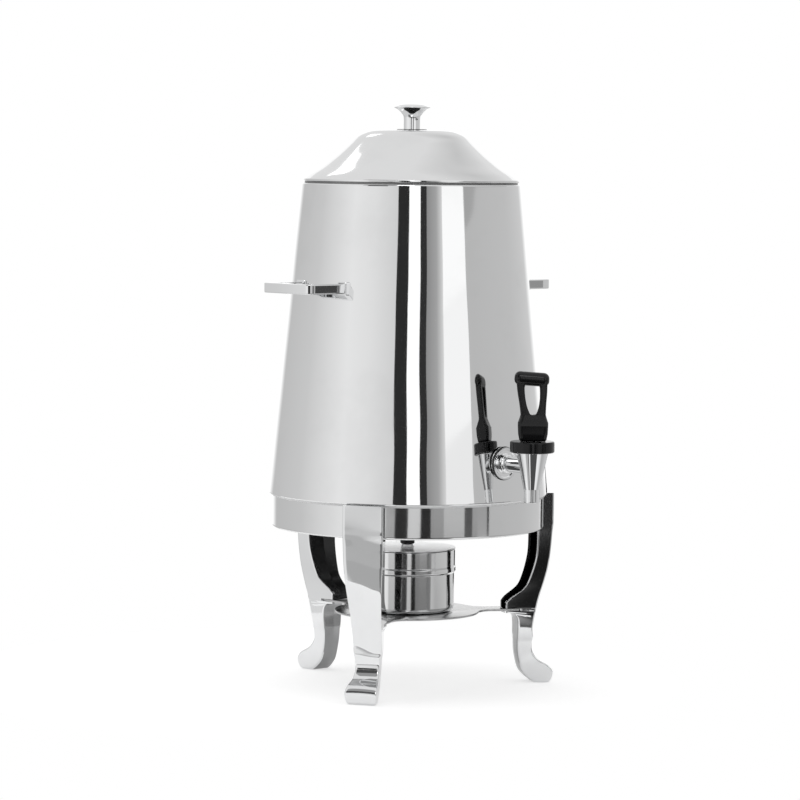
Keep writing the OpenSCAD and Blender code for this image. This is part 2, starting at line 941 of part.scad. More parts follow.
module lid_dome() {
  color(steel)
    difference() {
      rotate_extrude()
        polygon(concat(
          [
            [skirt_r - sheet_t, rim_z - skirt_h],
            [skirt_r, rim_z - skirt_h],
            [skirt_r, rim_z],
            [lid_seat_r, rim_z],
            [lid_seat_r, rim_z + lid_seam],
            [lid_r - 1, rim_z + lid_seam],
            [lid_r, rim_z + lid_seam + 1]
          ],
          lid_outer,
          [[0, lid_top_z], [0, lid_under_z]],
          backwards(lid_inner),
          [[skirt_r - sheet_t, rim_z + lid_seam + sheet_t]]
        ));
      translate([0, 0, lid_under_z - cut])
        cylinder(r = knob_screw_r + hole_gap, h = sheet_t + 2 * cut);
    }
}

module lid_knob() {
  flare = smooth([
    [knob_stem_r, knob_z + knob_h * 0.36],
    [knob_stem_r + 0.4, knob_z + knob_h * 0.5],
    [knob_stem_r + (knob_r - knob_stem_r) * 0.2, knob_z + knob_h * 0.61],
    [knob_stem_r + (knob_r - knob_stem_r) * 0.52, knob_z + knob_h * 0.74],
    [knob_r - 0.9, knob_z + knob_h * 0.82]
  ], curve_steps);
  color(chrome)
    difference() {
      rotate_extrude()
        polygon(concat(
          [[0, knob_z], [knob_stem_r, knob_z]],
          flare,
          [
            [knob_r, knob_z + knob_h * 0.845],
            [knob_r - 0.6, knob_z + knob_h * 0.88],
            [knob_r * 0.6, knob_z + knob_h * 0.97],
            [0, knob_z + knob_h]
          ]
        ));
      translate([0, 0, knob_z - cut])
        cylinder(r = knob_screw_r + thread_gap, h = knob_screw_bite + 2 * cut);
    }
}

module knob_washer() {
  color(black)
    translate([0, 0, lid_top_z])
      difference() {
        cylinder(r = knob_washer_r, h = knob_washer_t);
        translate([0, 0, -cut])
          cylinder(r = knob_screw_r + hole_gap, h = knob_washer_t + 2 * cut);
      }
}

module knob_screw() {
  color(zinc)
    translate([0, 0, lid_under_z])
      screw(knob_screw_r, knob_z + knob_screw_bite - lid_under_z, knob_screw_head_r, knob_screw_head_h);
}

module burner_cup() {
  in_r = cup_r - cup_t;
  color(steel)
    rotate_extrude()
      polygon(concat(
        [[0, tray_z]],
        arc_pts(cup_r - cup_corner, tray_z + cup_corner, cup_corner, -90, 0, 6),
        [
          [cup_r, bead_z],
          [cup_r + bead_out, bead_z + bead_h * 0.25],
          [cup_r + bead_out, bead_z + bead_h * 0.75],
          [cup_r + collar_out, bead_z + bead_h],
          [cup_r + collar_out, cup_top_z],
          [cup_mouth_r, cup_top_z],
          [cup_mouth_r, bead_z + bead_h],
          [in_r, bead_z]
        ],
        arc_pts(in_r - cup_corner, tray_z + cup_t + cup_corner, cup_corner, 0, -90, 6),
        [[0, tray_z + cup_t]]
      ));
}

module burner_cover() {
  color(steel)
    difference() {
      rotate_extrude()
        polygon([
          [0, cup_top_z],
          [plug_r - cup_t, cup_top_z],
          [plug_r - cup_t, cup_top_z - plug_h],
          [plug_r, cup_top_z - plug_h],
          [plug_r, cup_top_z],
          [cover_r, cup_top_z],
          [cover_r, cover_top_z - 0.4],
          [cover_r - 0.4, cover_top_z],
          [boss_r0, cover_top_z],
          [boss_r1, boss_top_z],
          [0, boss_top_z]
        ]);
      translate([0, 0, cup_top_z - cut])
        cylinder(r = cover_screw_r + hole_gap, h = cover_t + boss_h + 2 * cut);
    }
}

module cover_knob() {
  color(black)
    difference() {
      translate([0, 0, boss_top_z])
        rotate_extrude()
          polygon([
            [0, 0],
            [cover_knob_r * 0.88, 0],
            [cover_knob_r, cover_knob_h * 0.12],
            [cover_knob_r, cover_knob_h * 0.82],
            [cover_knob_r * 0.85, cover_knob_h],
            [0, cover_knob_h]
          ]);
      translate([0, 0, boss_top_z - cut])
        cylinder(r = cover_screw_r + thread_gap, h = cover_screw_bite + 1.5 * cut);
    }
}

module cover_screw() {
  color(zinc)
    translate([0, 0, cup_top_z])
      screw(cover_screw_r, boss_top_z - cup_top_z + cover_screw_bite, cover_screw_head_r, cover_screw_head_h);
}

placed() body_shell();
placed() tank_bottom();
placed() base_band();
placed() leg_front_left();
placed() leg_front_right();
placed() leg_rear();
placed() leg_screws();
placed() leg_washers();
placed() burner_tray();
placed() left_handle();
placed() right_handle();
placed() handle_screws();
placed() handle_seals();
placed() tap_body();
placed() tap_collar();
placed() tap_outer_gasket();
placed() tap_inner_gasket();
placed() tap_locknut();
placed() tap_bonnet();
placed() closing_spring();
placed() seat_cup();
placed() tap_stem();
placed() lever_pin();
placed() tap_lever();
placed() lid_dome();
placed() lid_knob();
placed() knob_washer();
placed() knob_screw();
placed() burner_cup();
placed() burner_cover();
placed() cover_knob();
placed() cover_screw();
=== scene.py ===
import math

import bmesh
import bpy
from bpy.props import FloatProperty, FloatVectorProperty, IntProperty, PointerProperty
from mathutils import Matrix, Vector


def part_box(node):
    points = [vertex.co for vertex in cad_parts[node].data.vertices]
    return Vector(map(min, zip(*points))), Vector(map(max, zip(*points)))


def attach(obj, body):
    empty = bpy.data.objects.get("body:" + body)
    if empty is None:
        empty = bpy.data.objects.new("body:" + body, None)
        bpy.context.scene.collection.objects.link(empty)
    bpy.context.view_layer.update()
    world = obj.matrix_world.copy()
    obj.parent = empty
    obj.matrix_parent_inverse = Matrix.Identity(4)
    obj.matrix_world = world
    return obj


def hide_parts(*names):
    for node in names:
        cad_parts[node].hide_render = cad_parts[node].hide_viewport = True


bl_info = {
    "name": "Drinks urn",
    "version": (1, 0, 0),
    "blender": (4, 5, 0),
    "location": "View3D > Sidebar > Urn",
    "description": "Dresses the packed drinks urn in polished steel and sets its studio",
    "category": "Object",
}

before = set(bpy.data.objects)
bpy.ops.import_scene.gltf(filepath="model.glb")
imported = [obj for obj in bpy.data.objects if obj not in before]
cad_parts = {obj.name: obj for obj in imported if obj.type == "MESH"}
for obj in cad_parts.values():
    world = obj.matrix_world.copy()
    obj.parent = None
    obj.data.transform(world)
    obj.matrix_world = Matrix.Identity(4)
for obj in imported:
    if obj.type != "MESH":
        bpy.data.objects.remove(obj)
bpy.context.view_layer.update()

MM = 0.001
FULL_TURN = 2 * math.pi
UP = Vector((0, 0, 1))


def node_middle(node):
    """Middle of a node's box, in metres."""
    low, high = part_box(node)
    return (low + high) / 2


# Places read from the frame, in millimetres
AXIS_Y = node_middle("lid_dome").y / MM
TAP_Y = node_middle("tap_bonnet").y / MM
MIDDLE = Vector((0, AXIS_Y, 0))
FLOOR_Z = 0.0
BAND_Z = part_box("base_band")[0].z / MM
TANK_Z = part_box("base_band")[1].z / MM
RIM_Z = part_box("body_shell")[1].z / MM
RIM_TOP_Z = RIM_Z + 1.6
LID_TOP_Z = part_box("knob_washer")[0].z / MM
TRAY_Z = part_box("burner_tray")[1].z / MM
CUP_TOP_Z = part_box("burner_cup")[1].z / MM
COVER_TOP_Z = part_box("cover_knob")[0].z / MM
BONNET_Z, BONNET_TOP_Z = (corner.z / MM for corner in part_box("tap_bonnet"))
SPOUT_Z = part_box("tap_body")[0].z / MM
LEVER_Z = BONNET_TOP_Z + 0.3
BAND_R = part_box("base_band")[1].x / MM
TANK_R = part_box("body_shell")[1].x / MM
EDGE_Z = TANK_Z + 3
RIM_R = 106
HANDLE_Z = node_middle("left_handle").z / MM
HANDLE_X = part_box("right_handle")[1].x / MM
TAP_Z = node_middle("tap_collar").z / MM
LEG_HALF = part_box("leg_rear")[1].x / MM
TOE_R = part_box("leg_rear")[1].y / MM - AXIS_Y

LEG_TURNS = {"leg_front_left": 210, "leg_front_right": 330, "leg_rear": 90}
LEVER_TURN = -45


def length(label, words, value, least, most):
    """A setting for a length in metres."""
    return FloatProperty(
        name=label, description=words, default=value, min=least, max=most, precision=4, unit="LENGTH")


class UrnSizes(bpy.types.PropertyGroup):
    """Sizes of the modelled details and of the studio."""

    turn_steps: IntProperty(
        name="Turning steps", description="Steps round a wide turned piece", default=224, min=48, max=256)
    fine_steps: IntProperty(
        name="Fine turning steps", description="Steps round a small turned piece",
        default=96, min=24, max=192)
    edge_roll: length("Lower edge roll", "Rounding of the tank's lower edge", 1.1 * MM, 0.2 * MM, 1.6 * MM)
    leg_round: length("Leg rounding", "Rounding of the legs' long edges", 1.3 * MM, 0.5 * MM, 4 * MM)
    handle_round: length("Handle rounding", "Rounding of the handles' edges", 1.1 * MM, 0.3 * MM, 3 * MM)
    lever_round: length("Lever rounding", "Rounding of the lever's edges", 1.8 * MM, 0.4 * MM, 3 * MM)
    tray_edge: length("Tray edge", "Bevel along the tray's edge", 0.4 * MM, 0.1 * MM, 0.8 * MM)
    camera_distance: length("Camera distance", "Distance of the camera from the urn's middle", 3.308, 1, 4)
    camera_height: length("Camera height", "Height of the camera above the floor", 0.513, 0, 2)
    floor_radius: length("Floor radius", "Radius of the pale floor under the urn", 0.36, 0.3, 3)
    wall_radius: length("Wall radius", "Distance of the studio's wall from the urn", 4.6, 4, 8)


def colour(label, words, value):
    """A colour setting."""
    return FloatVectorProperty(
        name=label, description=words, default=value, size=3, min=0, max=1, subtype="COLOR")


class UrnColours(bpy.types.PropertyGroup):
    """Base colours of the finishes."""

    sheet_steel: colour("Sheet steel", "Polished sheet of tank, lid, band and burner", (0.80, 0.803, 0.806))
    cast_steel: colour("Cast steel", "Polished castings of the legs", (0.80, 0.805, 0.81))
    chrome: colour("Chrome", "Plating of tap, handles and knob", (0.84, 0.845, 0.85))
    fixing_steel: colour("Fixing steel", "Screws, washers, nut, spring and stem", (0.55, 0.56, 0.57))
    black_plastic: colour("Black plastic", "Bonnet, lever and knobs", (0.006, 0.006, 0.0065))
    silicone: colour("Silicone", "Seals and the tap's plug", (0.80, 0.80, 0.77))


def sizes():
    return bpy.context.scene.urn_sizes


def colours():
    return bpy.context.scene.urn_colours


# Finishes

AROUND = (0.06, 0.06, 1)
ALONG = (1, 0.05, 1)
EVERY_WAY = (1, 1, 1)
LINE_DEPTH = 0.02 * MM
GRAIN_DEPTH = 0.05 * MM
SMUDGED = 0.965

# Metals: colour setting and share of it, stretch of the polishing lines and their scale, roughness,
# its change in the lines and in smudges, strength of the bump, wave of the sheet in millimetres
METALS = {
    "mirror_sheet_steel": ("sheet_steel", 1, AROUND, 900, 0.035, 0.02, 0.02, 0.05, 1.1),
    "soft_lid_steel": ("sheet_steel", 1, AROUND, 900, 0.085, 0.03, 0.03, 0.05, 0),
    "spun_cup_steel": ("sheet_steel", 1, AROUND, 1000, 0.09, 0.05, 0.05, 0.06, 0),
    # Painted shade: a darker copy of the sheet steel for the lid's seam, standing for the shadow gap under
    # the lid's edge
    "dull_seam_steel": ("sheet_steel", 0.35, EVERY_WAY, 700, 0.42, 0.1, 0.1, 0.2, 0),
    # Satin steel with a darkened base: painted shade for the tank's bottom, the lip under its lower edge and
    # the band's inside
    "satin_lip_steel": ("sheet_steel", 0.85, AROUND, 700, 0.5, 0.1, 0.1, 0.1, 0),
    # Painted light: the cover's steel is lighter than the other sheet steel, so that the cover, shaded under
    # the tank, looks lit
    "satin_cover_steel": ("sheet_steel", 1.15, AROUND, 800, 0.22, 0.06, 0.08, 0.08, 0),
    "brushed_band_steel": ("sheet_steel", 0.94, AROUND, 1100, 0.07, 0.05, 0.03, 0.09, 0.7),
    # Tray steel: rougher from wear, with a darker base that is painted shade of the tray under the tank
    "worn_tray_steel": ("sheet_steel", 0.62, ALONG, 700, 0.24, 0.1, 0.08, 0.12, 0),
    "polished_casting": ("cast_steel", 1, EVERY_WAY, 260, 0.045, 0.02, 0.03, 0.05, 0),
    # Painted shade: a near-black copy of the cast steel for the legs' upper inner faces, the cover's edge lip
    # and the ring on the tap's rose
    "raw_casting": ("cast_steel", 0.06, EVERY_WAY, 500, 0.15, 0.1, 0.2, 0.2, 0),
    # Painted shade: a half-dark copy of the cast steel for the legs' lower inner faces
    "worn_casting": ("cast_steel", 0.42, EVERY_WAY, 400, 0.1, 0.1, 0.1, 0.1, 0),
    "bright_chrome": ("chrome", 1, EVERY_WAY, 500, 0.03, 0.015, 0.02, 0.03, 0),
    "plain_fixing_steel": ("fixing_steel", 1, EVERY_WAY, 600, 0.28, 0.12, 0.08, 0.2, 0),
}

# Tone of a metal's edge-on reflections, where it isn't white: the black steel's dark edge tone is painted
# shade
EDGE_SHADE_TONES = {"raw_casting": 0.06}

# Plastic and rubber: colour setting and share of it under dust, scale of the grain, roughness, gloss, bump
MOULDED = {
    "black_moulded_plastic": ("black_plastic", 1.5, 1400, 0.12, 0.3, 0.006),
    "pale_silicone": ("silicone", 0.92, 700, 0.5, 0.5, 0.1),
}


def grey(tone):
    """A grey colour with full alpha."""
    return (tone, tone, tone, 1)


def feed(tree, node, feeds):
    """Links inputs to sockets, or sets them to plain values."""
    for label, value in feeds.items():
        if isinstance(value, bpy.types.NodeSocket):
            tree.links.new(value, node.inputs[label])
        else:
            node.inputs[label].default_value = value


def add_node(tree, kind, feeds=None, **settings):
    """A shader node with its settings and its inputs fed."""
    node = tree.nodes.new("ShaderNode" + kind)
    for label, value in settings.items():
        setattr(node, label, value)
    feed(tree, node, feeds or {})
    return node


def math_node(tree, operation, *terms):
    """A math node on sockets or plain numbers; gives its output socket."""
    return add_node(tree, "Math", dict(enumerate(terms)), operation=operation).outputs[0]


def noise(tree, vector, scale, detail, roughness=0.55):
    """A noise texture on a vector; gives its factor socket."""
    feeds = {"Vector": vector, "Scale": scale, "Detail": detail, "Roughness": roughness}
    return add_node(tree, "TexNoise", feeds).outputs["Fac"]


def patches(tree, value, low, high):
    """Soft patches where a value rises from low to high; gives their socket."""
    feeds = {"Value": value, "From Min": low, "From Max": high}
    return add_node(tree, "MapRange", feeds, interpolation_type="SMOOTHSTEP").outputs["Result"]


def polish_marks(group, given):
    """Fine polishing lines, faint waves and wiped smudges of a metal."""
    wave_scale, least_roughness = 9, 0.01
    stretched = add_node(group, "VectorMath", {0: given["Vector"], 1: given["Stretch"]}, operation="MULTIPLY")
    lines = noise(group, stretched.outputs[0], given["Line Scale"], 3)
    smudge = patches(group, noise(group, given["Vector"], given["Smudge Scale"], 4, 0.6), 0.48, 0.72)
    centred = math_node(group, "SUBTRACT", lines, 0.5)
    lined = math_node(group, "MULTIPLY_ADD", centred, given["Line Amount"], given["Roughness"])
    rough = math_node(group, "MULTIPLY_ADD", smudge, given["Smudge Amount"], lined)
    wave = noise(group, given["Vector"], wave_scale, 1)
    height = math_node(group, "MULTIPLY_ADD", wave, given["Wave Amount"], lines)
    return math_node(group, "MAXIMUM", rough, least_roughness), height, smudge


def moulded_marks(group, given):
    """Fine moulded grain, handling sheen and dust of plastic and rubber."""
    sheen_scale, least_roughness = 45, 0.02
    rough = given["Roughness"]
    grain = noise(group, given["Vector"], given["Grain Scale"], 2)
    handled = noise(group, given["Vector"], sheen_scale, 3)
    for value, amount in ((grain, given["Grain Amount"]), (handled, given["Sheen Amount"])):
        rough = math_node(group, "MULTIPLY_ADD", math_node(group, "SUBTRACT", value, 0.5), amount, rough)
    return math_node(group, "MAXIMUM", rough, least_roughness), grain, patches(group, handled, 0.5, 0.8)


def marks_group(build, marks):
    """A node group that gives roughness, height and a mask, built at its first use."""
    name = build.__name__
    if name in bpy.data.node_groups:
        return bpy.data.node_groups[name]
    group = bpy.data.node_groups.new(name, "ShaderNodeTree")
    for label, value in {**marks, "Vector": (0, 0, 0)}.items():
        kind = "NodeSocketVector" if isinstance(value, tuple) else "NodeSocketFloat"
        group.interface.new_socket(name=label, in_out="INPUT", socket_type=kind)
    results = ("Roughness", "Height", "Mask")
    for label in results:
        group.interface.new_socket(name=label, in_out="OUTPUT", socket_type="NodeSocketFloat")
    made = group.nodes.new("NodeGroupOutput")
    feed(group, made, dict(zip(results, build(group, group.nodes.new("NodeGroupInput").outputs))))
    return group


def marked_material(name, build, marks, base, other, bump, depth, shading):
    """A material whose colours, roughness and fine relief come from a group of marks."""
    made = bpy.data.materials.new(name)
    made.use_nodes = True
    tree = made.node_tree
    marks["Vector"] = add_node(tree, "TexCoord").outputs["Object"]
    given = add_node(tree, "Group", marks, node_tree=marks_group(build, marks)).outputs
    mix = add_node(
        tree, "Mix", {"Factor": given["Mask"], "A": (*base, 1), "B": (*other, 1)}, data_type="RGBA")
    relief = add_node(tree, "Bump", {"Height": given["Height"], "Strength": bump, "Distance": depth})
    feed(tree, tree.nodes["Principled BSDF"], {
        "Base Color": mix.outputs["Result"], "Roughness": given["Roughness"],
        "Normal": relief.outputs["Normal"], **shading})
    return made


def metal(name):
    """A polished metal of the table."""
    setting, share, stretch, line_scale, roughness, line_amount, smudge_amount, bump, wave = METALS[name]
    base = [share * part for part in getattr(colours(), setting)]
    marks = {
        "Stretch": stretch, "Line Scale": line_scale, "Smudge Scale": 14, "Roughness": roughness,
        "Line Amount": line_amount, "Smudge Amount": smudge_amount,
        "Wave Amount": wave * MM / (bump * LINE_DEPTH)}
    return marked_material(
        name, polish_marks, marks, base, [SMUDGED * part for part in base], bump, LINE_DEPTH,
        {"Metallic": 1, "Specular Tint": grey(EDGE_SHADE_TONES.get(name, 1))})


def moulded(name):
    """A moulded plastic or rubber of the table."""
    setting, dusty, grain_scale, roughness, gloss, bump = MOULDED[name]
    base = getattr(colours(), setting)
    marks = {"Grain Scale": grain_scale, "Roughness": roughness, "Grain Amount": 0.05, "Sheen Amount": 0.08}
    return marked_material(
        name, moulded_marks, marks, base, [dusty * part for part in base], bump, GRAIN_DEPTH,
        {"Specular IOR Level": gloss})


def surface(name):
    """The finish with a name, made at its first use."""
    if name in bpy.data.materials:
        return bpy.data.materials[name]
    return metal(name) if name in METALS else moulded(name)


# Shapes

def rounded(corners, bits=5):
    """Outline of (x, y, radius) corners with each corner turned by its radius."""
    outline = []
    count = len(corners)
    for place, (x, y, radius) in enumerate(corners):
        corner = Vector((x, y))
        if radius <= 0:
            outline.append((x, y))
            continue
        back = Vector(corners[place - 1][:2]) - corner
        ahead = Vector(corners[(place + 1) % count][:2]) - corner
        half = back.angle(ahead) / 2
        room_back = back.length * (0.49 if corners[place - 1][2] > 0 else 0.98)
        room_ahead = ahead.length * (0.49 if corners[(place + 1) % count][2] > 0 else 0.98)
        trim = min(radius / math.tan(half), room_back, room_ahead)
        turn_r = trim * math.tan(half)
        back.normalize()
        ahead.normalize()
        centre = corner + (back + ahead).normalized() * (turn_r / math.sin(half))
        arm = corner + back * trim - centre
        last = corner + ahead * trim - centre
        sweep = math.atan2(arm.x * last.y - arm.y * last.x, arm.dot(last))
        for bit in range(bits + 1):
            angle = sweep * bit / bits
            outline.append((
                centre.x + arm.x * math.cos(angle) - arm.y * math.sin(angle),
                centre.y + arm.x * math.sin(angle) + arm.y * math.cos(angle)))
    return outline


def held(outline, closed=True, near=0.5, least=2.5):
    """The outline with holding points close to the ends of its long sides."""
    points = []
    count = len(outline)
    for place in range(count):
        first = Vector(outline[place])
        points.append(tuple(first))
        if place == count - 1 and not closed:
            break
        second = Vector(outline[(place + 1) % count])
        length = (second - first).length
        if length > least:
            points.append(tuple(first.lerp(second, near / length)))
            points.append(tuple(first.lerp(second, 1 - near / length)))
    return points


def smooth_curve(points, steps):
    """A smooth curve through the points."""
    vectors = [Vector(point) for point in points]
    curve = []
    last = len(vectors) - 1
    for place in range(last):
        p0, p1 = vectors[max(place - 1, 0)], vectors[place]
        p2, p3 = vectors[place + 1], vectors[min(place + 2, last)]
        for step in range(steps):
            t = step / steps
            curve.append(tuple(0.5 * (
                2 * p1 + (p2 - p0) * t + (2 * p0 - 5 * p1 + 4 * p2 - p3) * t ** 2
                + (3 * p1 - p0 - 3 * p2 + p3) * t ** 3)))
    curve.append(tuple(vectors[last]))
    return curve


def at_step(curve, share):
    """The point at a share of a curve's length."""
    vectors = [Vector(point) for point in curve]
    lengths = [(b - a).length for a, b in zip(vectors, vectors[1:])]
    left = share * sum(lengths)
    for a, b, length in zip(vectors, vectors[1:], lengths):
        if left <= length and length > 0:
            return a.lerp(b, left / length)
        left -= length
    return vectors[-1].copy()


def value_at(curve, height):
    """The first value of a curve of (value, height) at a height."""
    for (v0, h0), (v1, h1) in zip(curve, curve[1:]):
        if h0 <= height <= h1:
            return v0 + (v1 - v0) * ((height - h0) / (h1 - h0) if h1 > h0 else 0)
    return curve[-1][0] if height > curve[-1][1] else curve[0][0]


def turn(bm, outline, centre, along, aside, steps):
    """Spins an outline of (radius, distance along) about a line; ends on the line stay open there."""
    verts = [bm.verts.new((centre + aside * r + along * h) * MM) for r, h in outline]
    edges = [bm.edges.new(pair) for pair in zip(verts, verts[1:])]
    if outline[0][0] > 0 or outline[-1][0] > 0:
        edges.append(bm.edges.new((verts[-1], verts[0])))
    bmesh.ops.spin(
        bm, geom=verts + edges, cent=centre * MM, axis=along, angle=FULL_TURN,
        steps=steps, use_merge=True, use_duplicate=False)


def ring_points(outer, inner, side, rounding, bits=4, draft=0, inner_round=None, crown=None, ridge=0,
                lean=0):
    """Points round a bar's section from its outer and inner points and its half width as a vector."""
    across = outer - inner
    depth, width = across.length, side.length
    radius = min(rounding, 0.45 * depth, 0.9 * width)
    narrow = width - draft * depth
    near = radius if inner_round is None else inner_round
    arc = bits + 1
    if crown is None:
        corners = [(0, -narrow, near), (depth, -width, radius), (depth, width, radius), (0, narrow, near)]
        runs = [arc] * 4
    else:
        shares = [0.2 * k for k in range(-5, 6)]
        face = [(depth - crown * t * t + lean * t * width, t * width, 0) for t in shares]
        bow = face[1:-1]
        corners = [
            (0, -narrow, near), (*face[0][:2], radius), *bow, (*face[-1][:2], radius),
            (0, narrow, near), (-ridge, 0, 0)]
        runs = [arc, 2 * arc + len(bow), arc, 1]
    step, spread = across / depth, side / width
    return [inner + step * x + spread * y for x, y in braced(rounded(corners, bits), runs)]


def braced(outline, runs, near=0.25):
    """The outline's runs of points with two holding points on the straight side after each run."""
    parts = []
    for count in runs:
        first = sum(map(len, parts))
        parts.append([Vector(point) for point in outline[first:first + count]])
    points = []
    for part, following in zip(parts, parts[1:] + parts[:1]):
        straight = following[0] - part[-1]
        share = min(near / max(straight.length, near), 0.3)
        points += part + [part[-1] + straight * share, following[0] - straight * share]
    return points


def loft(bm, rings):
    """Extrudes a ring of points through the next rings, then caps both ends."""
    verts = [bm.verts.new(point * MM) for point in rings[0]]
    count = len(verts)
    first_verts = list(verts)
    edges = [bm.edges.new((verts[k], verts[(k + 1) % count])) for k in range(count)]
    for ring in rings[1:]:
        fresh = {part for part in bmesh.ops.extrude_edge_only(bm, edges=edges)["geom"]
                 if isinstance(part, bmesh.types.BMVert)}
        copies = [next(e.other_vert(v) for e in v.link_edges if e.other_vert(v) in fresh) for v in verts]
        for copy, point in zip(copies, ring):
            copy.co = point * MM
        edges = [bm.edges.get((copies[k], copies[(k + 1) % count])) for k in range(count)]
        verts = copies
    bm.faces.new(first_verts)
    bm.faces.new(verts)


def mesh_object(name, bm, finishes):
    """An object in the scene from a mesh under work, smooth and with its finishes."""
    for face in bm.faces:
        face.smooth = True
    mesh = bpy.data.meshes.new(name)
    bm.to_mesh(mesh)
    bm.free()
    for finish in finishes:
        mesh.materials.append(finish)
    made = bpy.data.objects.new(name, mesh)
    bpy.context.scene.collection.objects.link(made)
    return made


def piece(name, bm, finish, body, nodes, slot, sharp=38, dull=None, shade_finishes=("dull_seam_steel",)):
    """Closes a mesh, gives it its finishes and sets it on its body in place of CAD nodes."""
    bmesh.ops.remove_doubles(bm, verts=bm.verts, dist=0.0005 * MM)
    bmesh.ops.recalc_face_normals(bm, faces=bm.faces)
    for edge in bm.edges:
        edge.smooth = edge.calc_face_angle(0) < math.radians(sharp)
    finishes = [finish]
    # Faces that the mask picks get darker copies of the metal: painted shade in seams, grooves, undersides
    # and inner faces
    if dull:
        finishes += shade_finishes
        for face in bm.faces:
            face.material_index = int(dull(face.calc_center_median() / MM))
    made = mesh_object(name, bm, [surface(each) for each in finishes])
    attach(made, body)
    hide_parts(*nodes)


def turned_piece(name, outline, finish, body, nodes, slot, steps=None, centre=None, along=UP,
                 aside=Vector((1, 0, 0)), **shade_settings):
    """A piece that is one turned outline, about the urn's middle unless a centre is given."""
    bm = bmesh.new()
    turn(bm, outline, centre or MIDDLE, along, aside, steps or sizes().turn_steps)
    piece(name, bm, finish, body, nodes, slot, **shade_settings)


def reach(point):
    """Distance of a point from the urn's middle line."""
    return math.hypot(point.x, point.y - AXIS_Y)


def tank_radius(height):
    """Outside radius of the tank at a height."""
    return TANK_R + (RIM_R - TANK_R) * (height - EDGE_Z) / (RIM_Z - EDGE_Z)


class URN_OT_tank(bpy.types.Operator):
    """Models the tank's wall and the band under it"""

    bl_idname = "urn.tank"
    bl_label = "Tank and band"

    def execute(self, context):
        sheet, foot_r, mouth_r = 1.2, 122.5, 99
        band_sheet, flange_r = 1.4, BAND_R - 5
        roll = sizes().edge_roll / MM
        wall = held(rounded([
            (foot_r, TANK_Z, 0), (BAND_R, TANK_Z, 0.3), (TANK_R, EDGE_Z, roll), (RIM_R, RIM_TOP_Z, 1.5),
            (mouth_r, RIM_TOP_Z, 0.4), (mouth_r, RIM_TOP_Z - sheet, 0.4),
            (RIM_R - sheet, RIM_TOP_Z - sheet, 1.3), (TANK_R - sheet, EDGE_Z + 0.3, 0.6),
            (BAND_R - 0.9, TANK_Z + sheet, 0.3), (foot_r, TANK_Z + sheet, 0)], 6))
        turned_piece(
            "tank_wall", wall, "mirror_sheet_steel", "urn", ["body_shell"], "polished_steel",
            # Painted shade: the lip under the tank's lower edge gets the darker satin steel
            dull=lambda point: point.z < EDGE_Z - 0.6, shade_finishes=["satin_lip_steel"])
        band = held(rounded([
            (flange_r, BAND_Z, 0.5), (BAND_R, BAND_Z, 2), (BAND_R, TANK_Z, 0),
            (BAND_R - band_sheet, TANK_Z, 0), (BAND_R - band_sheet, BAND_Z + band_sheet, 0.6),
            (flange_r, BAND_Z + band_sheet, 0.5)], 6))
        turned_piece(
            "foot_band", band, "brushed_band_steel", "urn", ["base_band"], "polished_steel",
            # Painted shade: the band's inside gets the darker satin steel
            dull=lambda point: reach(point) < BAND_R - 1 and point.z > BAND_Z + 1,
            shade_finishes=["satin_lip_steel"])
        return {"FINISHED"}


SLOT_R = 110.5
LEG_R = BAND_R + 10.5
LEG_DRAFT = 0.15


